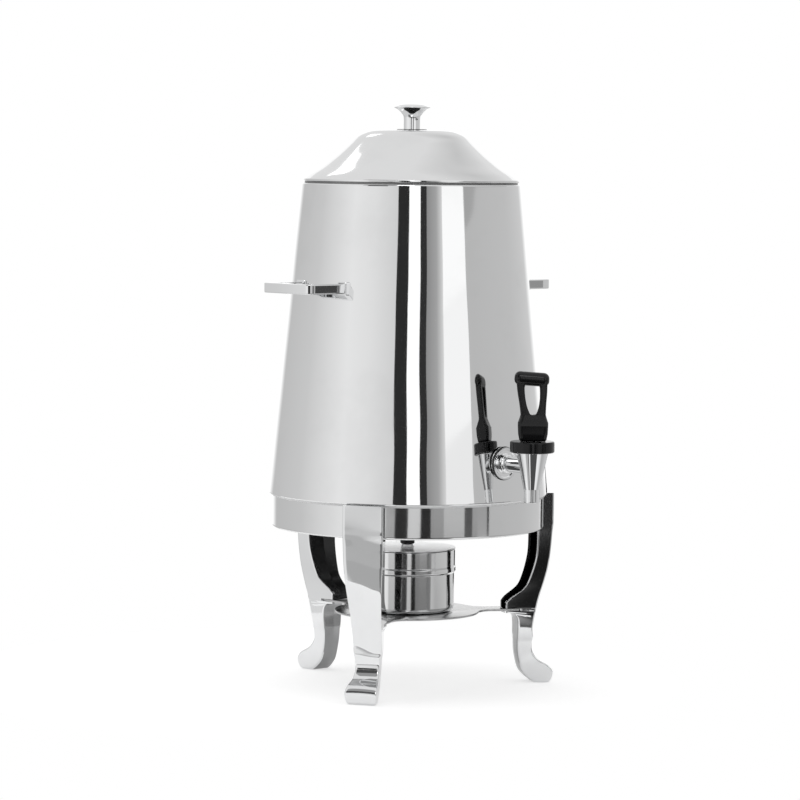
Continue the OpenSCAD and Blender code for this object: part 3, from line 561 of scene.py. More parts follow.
def leg_stations():
    """Outer and inner point, half width, parting ridge and lean of a leg's sections, from the sole up."""
    knee_r = BAND_R - 35.2
    top_z = TANK_Z + 2
    shin = smooth_curve([
        (BAND_R - 7.5, TRAY_Z * 0.6), (BAND_R - 7.2, TRAY_Z * 0.74), (BAND_R - 2.7, TRAY_Z + 3),
        (LEG_R - 4.2, (BAND_Z + TRAY_Z) / 2 - 3), (LEG_R - 0.6, BAND_Z - 8),
        (LEG_R, BAND_Z + 8), (LEG_R - 0.1, top_z)], 12)
    width = smooth_curve([
        (12.4, TRAY_Z * 0.53), (14.2, TRAY_Z * 0.68), (15.4, TRAY_Z), (LEG_HALF / 2 + 6.2, TRAY_Z + 12),
        (LEG_HALF - 0.8, BAND_Z - 30), (LEG_HALF, BAND_Z), (LEG_HALF, top_z)], 12)
    instep = smooth_curve([
        (TOE_R - 0.4, TRAY_Z * 0.11), (TOE_R, TRAY_Z * 0.165), (TOE_R - 4.5, TRAY_Z * 0.245),
        (BAND_R - 2.5, TRAY_Z * 0.33), (BAND_R - 7.7, TRAY_Z * 0.45), (BAND_R - 7.5, TRAY_Z * 0.6)], 12)
    sole = smooth_curve([
        (TOE_R - 0.9, TRAY_Z * 0.075), (TOE_R - 2.6, TRAY_Z * 0.02), (TOE_R - 5.5, 0), (BAND_R - 2, 0),
        (BAND_R - 5, 0), (BAND_R - 12, TRAY_Z * 0.07), (BAND_R - 18.4, TRAY_Z * 0.18),
        (BAND_R - 22.4, TRAY_Z * 0.4), (BAND_R - 23, TRAY_Z * 0.6)], 12)
    spread = smooth_curve([
        (15.4, 0), (16, 0.1), (15.5, 0.24), (13.7, 0.42), (12.5, 0.6), (12, 0.75), (12.9, 1)], 8)
    calf = smooth_curve([
        (BAND_R - 23, TRAY_Z * 0.6), (BAND_R - 22.8, TRAY_Z - 16), (BAND_R - 24, TRAY_Z - 8.4),
        (BAND_R - 28, TRAY_Z - 4.6), (knee_r, TRAY_Z - 4)], 12)
    upper = smooth_curve([
        (knee_r, TRAY_Z + 6), (knee_r + 4, TRAY_Z + 10.6), (knee_r + 16.6, TRAY_Z + 20),
        (knee_r + 22, TRAY_Z + 30), (knee_r + 26.6, TRAY_Z + 45), (knee_r + 28.6, TRAY_Z + 58),
        (knee_r + 29, BAND_Z - 0.05)], 12)
    seat_r = math.sqrt((BAND_R + 0.1) ** 2 - LEG_HALF ** 2)
    runs = (
        (calf, TRAY_Z * 0.6, TRAY_Z - 4, 24, 1),
        ([calf[-1], (knee_r, TRAY_Z - 2)], TRAY_Z - 4, TRAY_Z - 2, 1, 1),
        ([(SLOT_R, TRAY_Z - 2), (SLOT_R, TRAY_Z + 0.3)], TRAY_Z - 1.9, TRAY_Z + 0.2, 1, 0),
        ([(knee_r, TRAY_Z + 0.3), upper[0]], TRAY_Z + 0.3, TRAY_Z + 6, 3, 1),
        (upper, TRAY_Z + 6, BAND_Z - 0.05, 30, 1),
        ([(seat_r - 1.5, BAND_Z), (seat_r, BAND_Z + 1.5), (seat_r, TANK_Z - 0.1), (seat_r + 2, top_z)],
         BAND_Z, top_z, 12, 0),
    )
    parting, skew, foot_steps = 1.6, 0.44, 36
    stations = []
    for step in range(foot_steps):
        share = step / foot_steps
        toe, under = at_step(instep, share), at_step(sole, share)
        toe.x, under.y = min(toe.x, TOE_R), max(under.y, FLOOR_Z)
        stations.append((toe, under, value_at(spread, share), parting * max(2 * share - 1, 0), 0))
    for inner, low, high, count, ridged in runs:
        for step in range(count + 1):
            share = step / count
            height = low + (high - low) * share
            outside = Vector((value_at(shin, height), height))
            slope = (value_at(shin, height + 1) - value_at(shin, height - 1)) / 2
            stations.append((
                outside, at_step(inner, share), value_at(width, height), parting * ridged, skew * slope))
    return stations


class URN_OT_legs(bpy.types.Operator):
    """Models the three cast legs"""

    bl_idname = "urn.legs"
    bl_label = "Legs"

    def execute(self, context):
        stations = leg_stations()
        rounding = sizes().leg_round / MM
        for node, direction in LEG_TURNS.items():
            spin = Matrix.Rotation(math.radians(direction), 3, "Z")
            out, side = spin @ Vector((1, 0, 0)), spin @ Vector((0, 1, 0))
            back = [station[1] for station in stations if station[1].x != SLOT_R]
            rings = []
            for outer, inner, wide, ridge, lean in stations:
                rings.append(ring_points(
                    MIDDLE + out * outer.x + UP * outer.y,
                    MIDDLE + out * inner.x + UP * inner.y,
                    side * wide, rounding, draft=LEG_DRAFT,
                    inner_round=0.4 if inner.y > BAND_Z - 0.5 else 2.4, crown=0.6, ridge=ridge, lean=lean))

            # Picks the legs' inner faces for painted shade: 1 gives the black steel above the knee, 2 the
            # half-dark steel below it
            def inward(point):
                place = Vector((out.dot(point - MIDDLE), point.z))
                if place.x > BAND_R - 5:
                    return 0
                near = min(range(len(back)), key=lambda k: (back[k] - place).length)
                along = (back[min(near + 1, len(back) - 1)] - back[max(near - 1, 0)]).normalized()
                if (place - back[near]).dot(Vector((along.y, -along.x))) > 0.3:
                    return 0
                return 1 if place.y > TRAY_Z - 4 else 2

            bm = bmesh.new()
            loft(bm, rings)
            piece("cast_" + node, bm, "polished_casting", "urn", [node], "cast_steel", dull=inward,
                  shade_finishes=["raw_casting", "worn_casting"])
        return {"FINISHED"}


class URN_OT_tray(bpy.types.Operator):
    """Models the three-armed tray"""

    bl_idname = "urn.tray"
    bl_label = "Tray"

    def execute(self, context):
        tray_r, arm_half, fillet, tongue_r, thick = 70, 11, 18, BAND_R - 21.5, 2
        fillet_y = arm_half + fillet
        fillet_x = math.sqrt((tray_r + fillet) ** 2 - fillet_y ** 2)
        lean = math.degrees(math.atan2(fillet_y, fillet_x))

        def arc(x, y, r, first, last, count):
            angles = [math.radians(first + (last - first) * k / count) for k in range(count + 1)]
            return [Vector((x + r * math.cos(a), y + r * math.sin(a), 0)) for a in angles]

        arm = (
            arc(fillet_x, -fillet_y, fillet, 180 - lean, 90, 16)
            + [Vector((tongue_r, -arm_half, 0)), Vector((tongue_r, arm_half, 0))]
            + arc(fillet_x, fillet_y, fillet, -90, lean - 180, 16)
            + arc(0, 0, tray_r, lean + 1.5, 118.5 - lean, 24))
        bm = bmesh.new()
        middle = Vector((0, AXIS_Y, TRAY_Z - thick))
        outline = []
        for direction in sorted(LEG_TURNS.values()):
            spin = Matrix.Rotation(math.radians(direction), 3, "Z")
            outline += [bm.verts.new((middle + spin @ point) * MM) for point in arm]
        face = bm.faces.new(outline)
        raised = bmesh.ops.extrude_face_region(bm, geom=[face], use_keep_orig=True)["geom"]
        bmesh.ops.translate(
            bm, vec=UP * thick * MM, verts=[part for part in raised if isinstance(part, bmesh.types.BMVert)])
        rims = [e for e in bm.edges if abs(e.verts[0].co.z - e.verts[1].co.z) < 0.1 * MM]
        bmesh.ops.bevel(
            bm, geom=rims, offset=sizes().tray_edge, segments=2, profile=0.5, affect="EDGES", material=-1)
        # The tray's darker steel is painted shade
        piece("burner_shelf", bm, "worn_tray_steel", "urn", ["burner_tray"], "polished_steel")
        return {"FINISHED"}


class URN_OT_burner(bpy.types.Operator):
    """Models the fuel holder, its cover and the cover's knob"""

    bl_idname = "urn.burner"
    bl_label = "Burner"

    def execute(self, context):
        cup_r, sheet, collar = 45.5, 1.2, 0.8
        height = CUP_TOP_Z - TRAY_Z
        bead_z = TRAY_Z + 0.62 * height
        bead_h = 0.12 * height
        cup = held(rounded([
            (0, TRAY_Z, 0), (cup_r, TRAY_Z, 5), (cup_r, bead_z, 0.6),
            (cup_r + 1.4, bead_z + 0.25 * bead_h, 0.9), (cup_r + 1.4, bead_z + 0.75 * bead_h, 0.9),
            (cup_r + collar, bead_z + bead_h, 0.5), (cup_r + collar, CUP_TOP_Z, 0.4),
            (cup_r + collar - sheet, CUP_TOP_Z, 0.4), (cup_r + collar - sheet, bead_z + bead_h, 0.8),
            (cup_r - sheet, bead_z, 0.8), (cup_r - sheet, TRAY_Z + sheet, 5),
            (0, TRAY_Z + sheet, 0)], 6), closed=False)
        turned_piece("fuel_cup", cup, "spun_cup_steel", "burner", ["burner_cup"], "polished_steel")
        plug_r = cup_r + collar - sheet - 0.5
        hole_r, rim_r, knob_r = 2.2, cup_r + 1.2, 7
        lip, plate = CUP_TOP_Z + 0.6, CUP_TOP_Z + 1.5
        cover = held(rounded([
            (hole_r, CUP_TOP_Z, 0), (plug_r - sheet, CUP_TOP_Z, 0.3), (plug_r - sheet, CUP_TOP_Z - 5, 0.2),
            (plug_r, CUP_TOP_Z - 5, 0.2), (plug_r, lip, 0.2), (rim_r, lip, 0.2),
            (rim_r, plate, 0.3), (6.4, plate, 0.8), (5.2, COVER_TOP_Z, 0.3),
            (hole_r, COVER_TOP_Z, 0)], 5))
        turned_piece(
            # Painted light: the cover gets the lightened steel
            "fuel_cup_cover", cover, "satin_cover_steel", "cover", ["burner_cover"], "polished_steel",
            # Painted shadow: the cover's edge lip is black, standing for the gap's shadow under the cover
            dull=lambda point: reach(point) > plug_r - 0.3 and CUP_TOP_Z - 0.05 < point.z < lip + 0.05,
            shade_finishes=["raw_casting"])
        knob_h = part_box("cover_knob")[1].z / MM - COVER_TOP_Z
        turned_piece("cover_button", held(rounded([
            (0, COVER_TOP_Z + 6.5, 0), (2, COVER_TOP_Z + 6.4, 0), (2, COVER_TOP_Z, 0),
            (6.3, COVER_TOP_Z, 0.4), (knob_r, COVER_TOP_Z + 0.14 * knob_h, 0.5),
            (knob_r, COVER_TOP_Z + 0.84 * knob_h, 0.9), (5.9, COVER_TOP_Z + knob_h, 0.9),
            (2.4, COVER_TOP_Z + knob_h - 0.2, 0.6),
            (0, COVER_TOP_Z + knob_h - 0.6, 0)], 5), closed=False),
            "black_moulded_plastic", "cover", ["cover_knob"], "black_plastic", steps=sizes().fine_steps)
        return {"FINISHED"}


class URN_OT_handles(bpy.types.Operator):
    """Models the two bar handles"""

    bl_idname = "urn.handles"
    bl_label = "Handles"

    def execute(self, context):
        half_w, bar, half_h, corner = 34, 9, 4.75, 6.5
        wall_x = math.sqrt(tank_radius(HANDLE_Z) ** 2 - (half_w - bar / 2) ** 2)
        outer, inner = [], []
        for x in (wall_x - 2, wall_x + 3, HANDLE_X - corner - 9):
            outer.append(Vector((x, -half_w)))
            inner.append(Vector((x, bar - half_w)))
        for bit in range(6):
            a = math.radians(-90 + 90 * bit / 5)
            bend = Vector((math.cos(a), math.sin(a)))
            outer.append(Vector((HANDLE_X - corner, corner - half_w)) + corner * bend)
            inner.append(Vector((HANDLE_X - bar - 1, bar + 1 - half_w)) + bend)
        for points in (outer, inner):
            points += [Vector((p.x, -p.y)) for p in reversed(points)]
        rounding = sizes().handle_round / MM
        for node, sign in (("right_handle", 1), ("left_handle", -1)):
            bm = bmesh.new()
            rings = [ring_points(
                Vector((sign * o.x, AXIS_Y + o.y, HANDLE_Z)),
                Vector((sign * i.x, AXIS_Y + i.y, HANDLE_Z)),
                UP * half_h, rounding, bits=7) for o, i in zip(outer, inner)]
            loft(bm, rings)
            for side in (-1, 1):
                plate = []
                y = side * (half_w - bar / 2)
                for out, grow in ((-4, 1.5), (2.3, 1.5), (2.8, 1.2), (3, 0.6)):
                    plate.append(ring_points(
                        Vector((sign * (wall_x + out), AXIS_Y + y + bar / 2 + grow, HANDLE_Z)),
                        Vector((sign * (wall_x + out), AXIS_Y + y - bar / 2 - grow, HANDLE_Z)),
                        UP * (half_h + grow), 1))
                loft(bm, plate)
            piece("bar_" + node, bm, "bright_chrome", "urn", [node], "chromed", sharp=15)
        return {"FINISHED"}


class URN_OT_tap(bpy.types.Operator):
    """Models the tap's body, the ring behind it and its bonnet"""

    bl_idname = "urn.tap"
    bl_label = "Tap"

    def execute(self, context):
        centre = Vector((0, TAP_Y, 0))
        front, across = Vector((0, -1, 0)), Vector((1, 0, 0))
        at_shank = Vector((0, AXIS_Y, TAP_Z))
        fine = sizes().fine_steps
        spout_r, cone_r, neck_r, bore_r, shank_r = 7.4, 15, 12.3, 5.25, 7.2
        well_r, valve_r, way_r, shoulder_r, shank_end = 10.4, 9, 4.2, 8.6, 105
        cone_z, valve_z, neck_z = TAP_Z - 21.5, TAP_Z - 7, BONNET_TOP_Z - 3.2
        collar_face = tank_radius(TAP_Z - 16) + 1.9
        bm = bmesh.new()
        turn(bm, held(rounded([
            (bore_r, SPOUT_Z, 0.3), (spout_r, SPOUT_Z, 0.6), (spout_r, cone_z, 1.2),
            (cone_r, BONNET_Z, 0.5), (neck_r, BONNET_Z, 0), (neck_r, neck_z, 0.2),
            (well_r, neck_z, 0.2), (well_r, BONNET_Z, 0.4), (valve_r, valve_z, 0.4),
            (bore_r, valve_z, 0.4)], 5)), centre, UP, across, fine)
        way_front = AXIS_Y - TAP_Y - 9.5
        turn(bm, held(rounded([
            (way_r, shank_end, 0), (shank_r, shank_end, 0.6), (shank_r, collar_face, 0),
            (shoulder_r, collar_face, 0), (shoulder_r, collar_face + 3, 1.2),
            (shank_r, collar_face + 4.2, 0.8), (shank_r, way_front, 0),
            (way_r, way_front, 0)], 5)), at_shank, front, across, fine)
        piece("tap_barrel", bm, "bright_chrome", "urn", ["tap_body"], "chromed")
        back = tank_radius(TAP_Z) - 3
        turned_piece("tap_rose", held(rounded([
            (shank_r + 0.1, back + 2.5, 0), (15.5, back, 0), (16, collar_face - 2.2, 0.8),
            (15.4, collar_face, 0.9), (13.4, collar_face, 0.7), (12.4, collar_face - 0.7, 0.7),
            (9.6, collar_face - 0.7, 0.5), (shoulder_r, collar_face - 0.05, 0.1),
            (shank_r + 0.1, collar_face - 0.05, 0)], 5)), "bright_chrome", "urn", ["tap_collar"], "chromed",
            steps=fine, centre=at_shank, along=front, aside=across,
            # Painted shade: a black ring at the rose's rim stands for a shadowed groove
            dull=lambda point: 15.1 < math.hypot(point.x, point.z - TAP_Z) < 15.8,
            shade_finishes=["raw_casting"])
        bonnet_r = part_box("tap_bonnet")[1].x / MM
        lid_z = BONNET_TOP_Z - 3
        turned_piece("tap_cap", held(rounded([
            (3.4, lid_z, 0), (neck_r + 0.1, lid_z, 0.2), (neck_r + 0.1, BONNET_Z, 0),
            (bonnet_r - 0.7, BONNET_Z, 0.6), (bonnet_r, BONNET_Z + 0.9, 0.8), (bonnet_r, BONNET_TOP_Z, 1.3),
            (3.4, BONNET_TOP_Z, 0.3)], 5)), "black_moulded_plastic", "urn", ["tap_bonnet"], "black_plastic",
            steps=fine, centre=centre)
        return {"FINISHED"}


class URN_OT_lever(bpy.types.Operator):
    """Models the lever with its block, loop and top bar"""

    bl_idname = "urn.lever"
    bl_label = "Lever"

    def execute(self, context):
        spin = Matrix.Rotation(math.radians(LEVER_TURN), 3, "Z")
        across, front = spin @ Vector((1, 0, 0)), spin @ Vector((0, -1, 0))
        foot = Vector((0, TAP_Y, LEVER_Z))
        rounding = sizes().lever_round / MM
        neck_half, loop_t = 11.7, 10

        def shift(height):
            return 0.5 - 1.6 * max(height - 26, 0) / 32

        bm = bmesh.new()
        block = (
            (0, 11.6, 8.4), (1.4, 12.7, 9.8), (7, 13.8, 11), (14.5, 14.2, 11.2), (17.2, 14.2, 9),
            (20.7, 12.9, 7), (24.2, 11.9, loop_t / 2))
        loft(bm, [ring_points(
            foot + across * shift(0) + UP * z + front * d, foot + across * shift(0) + UP * z - front * d,
            across * w, 4, bits=6) for z, w, d in block])
        side = smooth_curve([
            (neck_half, 20), (neck_half + 0.2, 27), (neck_half + 1, 36), (neck_half + 2, 44),
            (neck_half + 2.6, 52), (neck_half + 2.7, 57.8)], 8)
        hole = smooth_curve([
            (0, 24.4), (2.6, 25.2), (4.2, 28.5), (5.6, 33), (6.4, 38), (6.8, 42), (7, 48), (6.6, 51.4),
            (5, 53)], 8)
        count = 40
        right = [(at_step(side, step / count), at_step(hole, step / count)) for step in range(count + 1)]
        stations = right + [(Vector((-o.x, o.y)), Vector((-i.x, i.y))) for o, i in reversed(right)]
        rings = []
        for outer, inner in stations:
            if (outer - inner).length < 0.1:
                continue
            rings.append(ring_points(
                foot + across * (outer.x + shift(outer.y)) + UP * outer.y,
                foot + across * (inner.x + shift(inner.y)) + UP * inner.y,
                front * (loop_t / 2), rounding, bits=6))
        loft(bm, rings[:len(rings) // 2])
        loft(bm, rings[len(rings) // 2:])
        lean = math.radians(3.5)
        roller_r, roller_half = 6.5, 16.3
        along = across * math.cos(lean) - UP * math.sin(lean)
        bar_z = 65 - roller_r - (roller_half - 4) * math.sin(lean)
        turn(bm, held(rounded([
            (0, -roller_half, 0), (roller_r, -roller_half, 5.4),
            (roller_r, roller_half, 5.4), (0, roller_half, 0)], 8), closed=False),
            foot + UP * bar_z + across * shift(bar_z), along, front, sizes().fine_steps)
        piece("pull_lever", bm, "black_moulded_plastic", "lever", ["tap_lever"], "black_plastic", sharp=22)
        return {"FINISHED"}


class URN_OT_lid(bpy.types.Operator):
    """Models the lid, its knob and the washer under the knob"""

    bl_idname = "urn.lid"
    bl_label = "Lid"

    def execute(self, context):
        lid_r, top_r, sheet, skirt_r, seam, screw_r = 105, 46, 1.2, 98.6, 1.8, 3.2
        height = LID_TOP_Z - RIM_Z
        shares = ((1, 0.105), (0.880, 0.219), (0.660, 0.383), (0.440, 0.566), (0.246, 0.755),
                  (0.144, 0.868), (0.063, 0.930), (-0.050, 0.982), (-0.170, 1))
        crown = smooth_curve([(top_r + (lid_r - top_r) * r, RIM_Z + height * h) for r, h in shares], 8)
        under = [(r - 0.62 * sheet, z - 0.79 * sheet) for r, z in crown if r < lid_r - 8]
        under_z = LID_TOP_Z - 0.79 * sheet
        edge = rounded([
            (skirt_r - sheet, RIM_Z - 10, 0.3), (skirt_r, RIM_Z - 10, 0.3), (skirt_r, RIM_TOP_Z, 0),
            (lid_r - 2.5, RIM_TOP_Z, 0), (lid_r - 2.5, RIM_TOP_Z + seam, 0.2),
            (lid_r, RIM_TOP_Z + seam, 0.9),
            (lid_r, RIM_Z + height * 0.105, 0.9)] + [(r, z, 0) for r, z in crown[2:]], 5)
        dome = edge + [(screw_r, LID_TOP_Z), (screw_r, under_z)] + under[::-1]
        dome.append((skirt_r - sheet, RIM_TOP_Z + seam + sheet))
        turned_piece(
            "lid_crown", held(dome), "soft_lid_steel", "lid", ["lid_dome"], "polished_steel",
            # Painted shadow on the seam faces under the lid's edge
            dull=lambda point: (
                reach(point) > skirt_r + 0.1 and RIM_TOP_Z - 0.05 < point.z < RIM_TOP_Z + seam + 0.05))
        fine = sizes().fine_steps
        knob_z = LID_TOP_Z + 0.8
        knob_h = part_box("lid_knob")[1].z / MM - knob_z
        knob_r, stem_r = 17.5, 8

        def level(share):
            return knob_z + knob_h * share

        flare = smooth_curve([
            (stem_r, level(0.36)), (stem_r + 0.4, level(0.5)),
            (stem_r + (knob_r - stem_r) * 0.2, level(0.61)),
            (stem_r + (knob_r - stem_r) * 0.52, level(0.74)),
            (knob_r - 0.9, level(0.82))], 8)
        brow = smooth_curve([
            (knob_r - 0.9, level(0.82)), (knob_r, level(0.845)),
            (knob_r - 0.6, level(0.88)), (knob_r * 0.6, level(0.97)),
            (0, knob_z + knob_h)], 8)
        grip = [(0, knob_z + 13), (3, knob_z + 13), (3, knob_z), (stem_r, knob_z)] + flare + brow[1:]
        turned_piece(
            "lid_grip", held(grip, closed=False), "bright_chrome", "lid", ["lid_knob"], "chromed", steps=fine)
        turned_piece("grip_washer", held(rounded([
            (screw_r, LID_TOP_Z, 0), (14.5, LID_TOP_Z, 0.1), (14.5, knob_z, 0.3), (screw_r, knob_z, 0)], 3)),
            "black_moulded_plastic", "lid", ["knob_washer"], "black_plastic", steps=fine)
        return {"FINISHED"}


class URN_OT_fittings(bpy.types.Operator):
    """Gives the hidden and small fittings their finishes"""

    bl_idname = "urn.fittings"
    bl_label = "Fittings"

    def execute(self, context):
        finishes = {
            # Painted shade: the tank's bottom gets the darker satin steel
            "satin_lip_steel": ("tank_bottom",),
            "plain_fixing_steel": (
                "leg_screws", "leg_washers", "handle_screws", "tap_locknut", "closing_spring", "tap_stem",
                "lever_pin", "knob_screw", "cover_screw"),
            "pale_silicone": ("handle_seals", "tap_outer_gasket", "tap_inner_gasket", "seat_cup"),
        }
        for finish, nodes in finishes.items():
            for node in nodes:
                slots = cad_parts[node].data.materials
                slots.clear()
                slots.append(surface(finish))
        return {"FINISHED"}


# Studio

CAMERA_TURN = -42.7
FOCAL_PIXELS = 3430
IMAGE_WIDTH = 800
HORIZON_ROW = 155
AXIS_SHIFT = 9
CAMERA_ROLL = 0.6
CARD_GAP = 0.2
CEILING_DISTANCE = 4
FLOOR_SHIFT = Vector((-0.045, 0.087, FLOOR_Z))

# Soft tones by direction from the camera, in degrees to the right
WALL_TONES = (
    (-180, 1.2), (-158, 1.1), (-146, 0.6), (-100, 0.7), (-58, 0.96), (-36, 0.9), (-15, 0.78),
    (30, 0.6), (60, 0.58), (110, 0.62), (146, 0.7), (158, 1.1), (180, 1.2))
NEAR_TONES = (
    (-180, 0.6), (-110, 0.6), (-60, 0.95), (-48, 0.9), (-45, 0.47), (-27, 0.46), (-26, 0.08), (-21, 0.08),
    (-20, 0.95), (-11, 0.95), (-10, 0.08), (37, 0.08), (39, 1), (60, 0.9), (75, 0.45), (112, 0.6),
    (170, 0.7), (180, 0.6))
FAR_TONES = (
    (-180, 0.6), (-110, 0.6), (-60, 0.95), (-48, 0.9), (-45, 0.52), (-24, 0.51), (-23, 0.05), (-1, 0.05),
    (0, 0.55), (9, 0.55), (10, 0.012), (20, 0.012), (21, 0.2), (58, 0.22), (61, 0.6), (75, 0.45), (112, 0.6),
    (170, 0.7), (180, 0.6))
GREY_TONES = ((15.5, 0.3), (19, 0.36), (25, 0.44), (31, 0.8))

# Foot and head of the cards that the toes, the band, the tank and the handles reflect, in metres
GROUND_Z, WALL_TOP_Z = -0.45, 2.3
TOE_TIER = (GROUND_Z, -0.355)
FOOT_TIER = (-0.355, -0.1)
TANK_TIER = (-0.1, WALL_TOP_Z)
SILL_TIER = (-0.1, 0.4)
ARM_TIER = (0.1, 0.3)

# Lights and flags before the wall: first and last direction, foot and head in metres, tone
CARDS = {
    "leg_skirt": (-46, -24, GROUND_Z, -0.4, 0.58),
    "leg_skirt_low": (-46, -24, -0.4, -0.34, 0.64),
    "leg_skirt_middle": (-46, -24, -0.34, -0.27, 0.7),
    "leg_skirt_head": (-46, -24, -0.27, -0.1, 0.77),
    "brow_flag": (-46, -24, 1.3, WALL_TOP_Z, 0.06),
    "left_flag_toe": (-24, 0, *TOE_TIER, 0.05),
    "left_flag_edge": (-18, -10.5, *FOOT_TIER, 0.5),
    "left_flag": (-12.5, -1.5, *TANK_TIER, 0.03),
    "left_flag_foot": (-10.5, 0, *FOOT_TIER, 0.03),
    "strip_light": (-1.5, 9.5, *TANK_TIER, 1.3),
    "strip_light_foot": (0, 10.5, *FOOT_TIER, 0.75),
    "strip_light_toe": (0, 9.5, *TOE_TIER, 0.6),
    "right_flag": (9.5, 15.5, *TANK_TIER, 0.035),
    "right_flag_foot": (10.5, 19, *FOOT_TIER, 0.03),
    "right_flag_toe": (9.5, 19, *TOE_TIER, 0.03),
    "grey_foot": (19, 30, *FOOT_TIER, 0.4),
    "grey_foot_middle": (30, 48, *FOOT_TIER, 0.62),
    "grey_foot_side": (55, 69, *FOOT_TIER, 0.42),
    "grey_toe": (19, 60, *TOE_TIER, 0.2),
    "side_flag_foot": (48, 55, *FOOT_TIER, 0.1),
    "side_line_foot": (69, 71, *FOOT_TIER, 0.03),
    "window_light": (31, 55, 0.95, WALL_TOP_Z, 1.2),
    "window_light_middle": (31, 55, 0.7, 0.95, 1.12),
    "window_light_foot": (31, 55, 0.4, 0.7, 1),
    "upper_flag": (56, 120, 1.1, WALL_TOP_Z, 0.44),
    "window_sill": (31, 50, *SILL_TIER, 0.85),
    "side_flag": (50, 73, *SILL_TIER, 0.2),
    "arm_flag": (74, 85, *ARM_TIER, 0.06),
    "far_arm_flag": (85, 92, *ARM_TIER, 0.32),
    "back_skirt": (152, 172, GROUND_Z, -0.12, 0.03),
}


def stage_mesh(name, bm, finish, shadow=True):
    """An object of the studio."""
    made = mesh_object(name, bm, [finish])
    made.visible_shadow = shadow
    return made


def stage_material(name):
    """An empty material of the studio and its tree."""
    made = bpy.data.materials.new(name)
    made.use_nodes = True
    made.node_tree.nodes.clear()
    made.cycles.emission_sampling = "NONE"
    return made, made.node_tree


def by_ray(tree, output, reflected, seen):
    """Shows the camera one shader, and reflections and light another."""
    path = add_node(tree, "LightPath").outputs["Is Camera Ray"]
    mix = add_node(tree, "MixShader", {0: path, 1: reflected.outputs[0], 2: seen.outputs[0]})
    add_node(tree, output, {"Surface": mix.outputs[0]})


def mapped(tree, kind, **place):
    """A gradient of a kind about a place in the studio; gives its factor socket."""
    vector = add_node(tree, "TexCoord").outputs["Object"]
    spot = add_node(tree, "Mapping", {"Vector": vector, **place}, vector_type="TEXTURE")
    fall = add_node(tree, "TexGradient", {"Vector": spot.outputs["Vector"]}, gradient_type=kind)
    return fall.outputs["Fac"]


def wall_material(name, tones):
    """The studio's wall: white to the camera, toned by direction in reflections."""
    made, tree = stage_material(name)
    turned_to = (0, 0, math.radians(CAMERA_TURN - 90))
    sweep = mapped(tree, "RADIAL", Location=MIDDLE * MM, Rotation=turned_to)
    ramp = add_node(tree, "ValToRGB", {"Fac": sweep})
    stops = ramp.color_ramp.elements
    while len(stops) > 1:
        stops.remove(stops[-1])
    for place, (angle, tone) in enumerate(tones):
        share = angle / 360 + 0.5
        stop = stops[0] if place == 0 else stops.new(share)
        stop.position = share
        stop.color = grey(tone)
    glow = add_node(tree, "Emission", {"Color": ramp.outputs["Color"]})
    by_ray(tree, "OutputMaterial", glow, add_node(tree, "Emission"))
    return made


def card_material(name, tone, fade=None):
    """A plain card: white to the camera, one tone in reflections, that may fade from a middle to a radius."""
    made, tree = stage_material(name)
    glow = add_node(tree, "Emission", {"Color": grey(1), "Strength": tone})
    if fade:
        middle, radius = fade
        fall = mapped(tree, "SPHERICAL", Location=middle, Scale=(radius, radius, radius))
        clear = add_node(tree, "BsdfTransparent")
        glow = add_node(tree, "MixShader", {0: fall, 1: clear.outputs[0], 2: glow.outputs[0]})
    by_ray(tree, "OutputMaterial", glow, add_node(tree, "Emission"))
    return made


def floor_material():
    """A pale floor that the camera sees as white with the urn's soft shadow."""
    made, tree = stage_material("pale_floor")
    layers = []
    for albedo, strength in ((0.8, 0.3), (0.5, 0.62)):
        matt = add_node(tree, "BsdfDiffuse", {"Color": grey(albedo)})
        glow = add_node(tree, "Emission", {"Strength": strength})
        layers.append(add_node(tree, "AddShader", {0: matt.outputs[0], 1: glow.outputs[0]}))
    by_ray(tree, "OutputMaterial", *layers)
    return made


def overhead(turn_right, rise):
    """The direction at an angle to the right of the camera and a rise."""
    polar, rise = math.radians(CAMERA_TURN - 90 + turn_right), math.radians(rise)
    return Vector((math.cos(polar) * math.cos(rise), math.sin(polar) * math.cos(rise), math.sin(rise)))


def wall(name, radius, first, last, low, high, finish):
    """A curved wall about the urn between two directions and two heights in metres."""
    bm = bmesh.new()
    middle = MIDDLE * MM
    foot, head = (bm.verts.new(middle + overhead(first, 0) * radius + UP * z) for z in (low, high))
    bmesh.ops.spin(
        bm, geom=[foot, head, bm.edges.new((foot, head))], cent=middle, axis=UP,
        angle=math.radians(last - first), steps=max(int((last - first) / 2), 4),
        use_merge=last - first >= 360)
    return stage_mesh(name, bm, finish, shadow=False)


def ceiling_card(name, low, high, wide, tone, soft=False):
    """A flat card overhead from one direction to another, facing the urn."""
    foot, head = overhead(*low) * CEILING_DISTANCE, overhead(*high) * CEILING_DISTANCE
    centre = (foot + head) / 2
    place = MIDDLE * MM + UP * 0.5 + centre
    along = (head - foot).normalized()
    facing = (centre - along * centre.dot(along)).normalized()
    turned_to = Matrix((along.cross(facing), along, facing)).transposed().to_4x4()
    bm = bmesh.new()
    bmesh.ops.create_grid(
        bm, x_segments=1, y_segments=1, size=0.5,
        matrix=Matrix.Translation(place) @ turned_to @ Matrix.Diagonal((wide, (head - foot).length, 1, 1)))
    finish = card_material(name, tone, (place, wide / 2) if soft else None)
    return stage_mesh(name, bm, finish, shadow=False)


def disc(name, radius, place, finish):
    """A round level sheet about a place."""
    bm = bmesh.new()
    bmesh.ops.create_circle(bm, cap_ends=True, segments=96, radius=radius, matrix=Matrix.Translation(place))
    return stage_mesh(name, bm, finish)


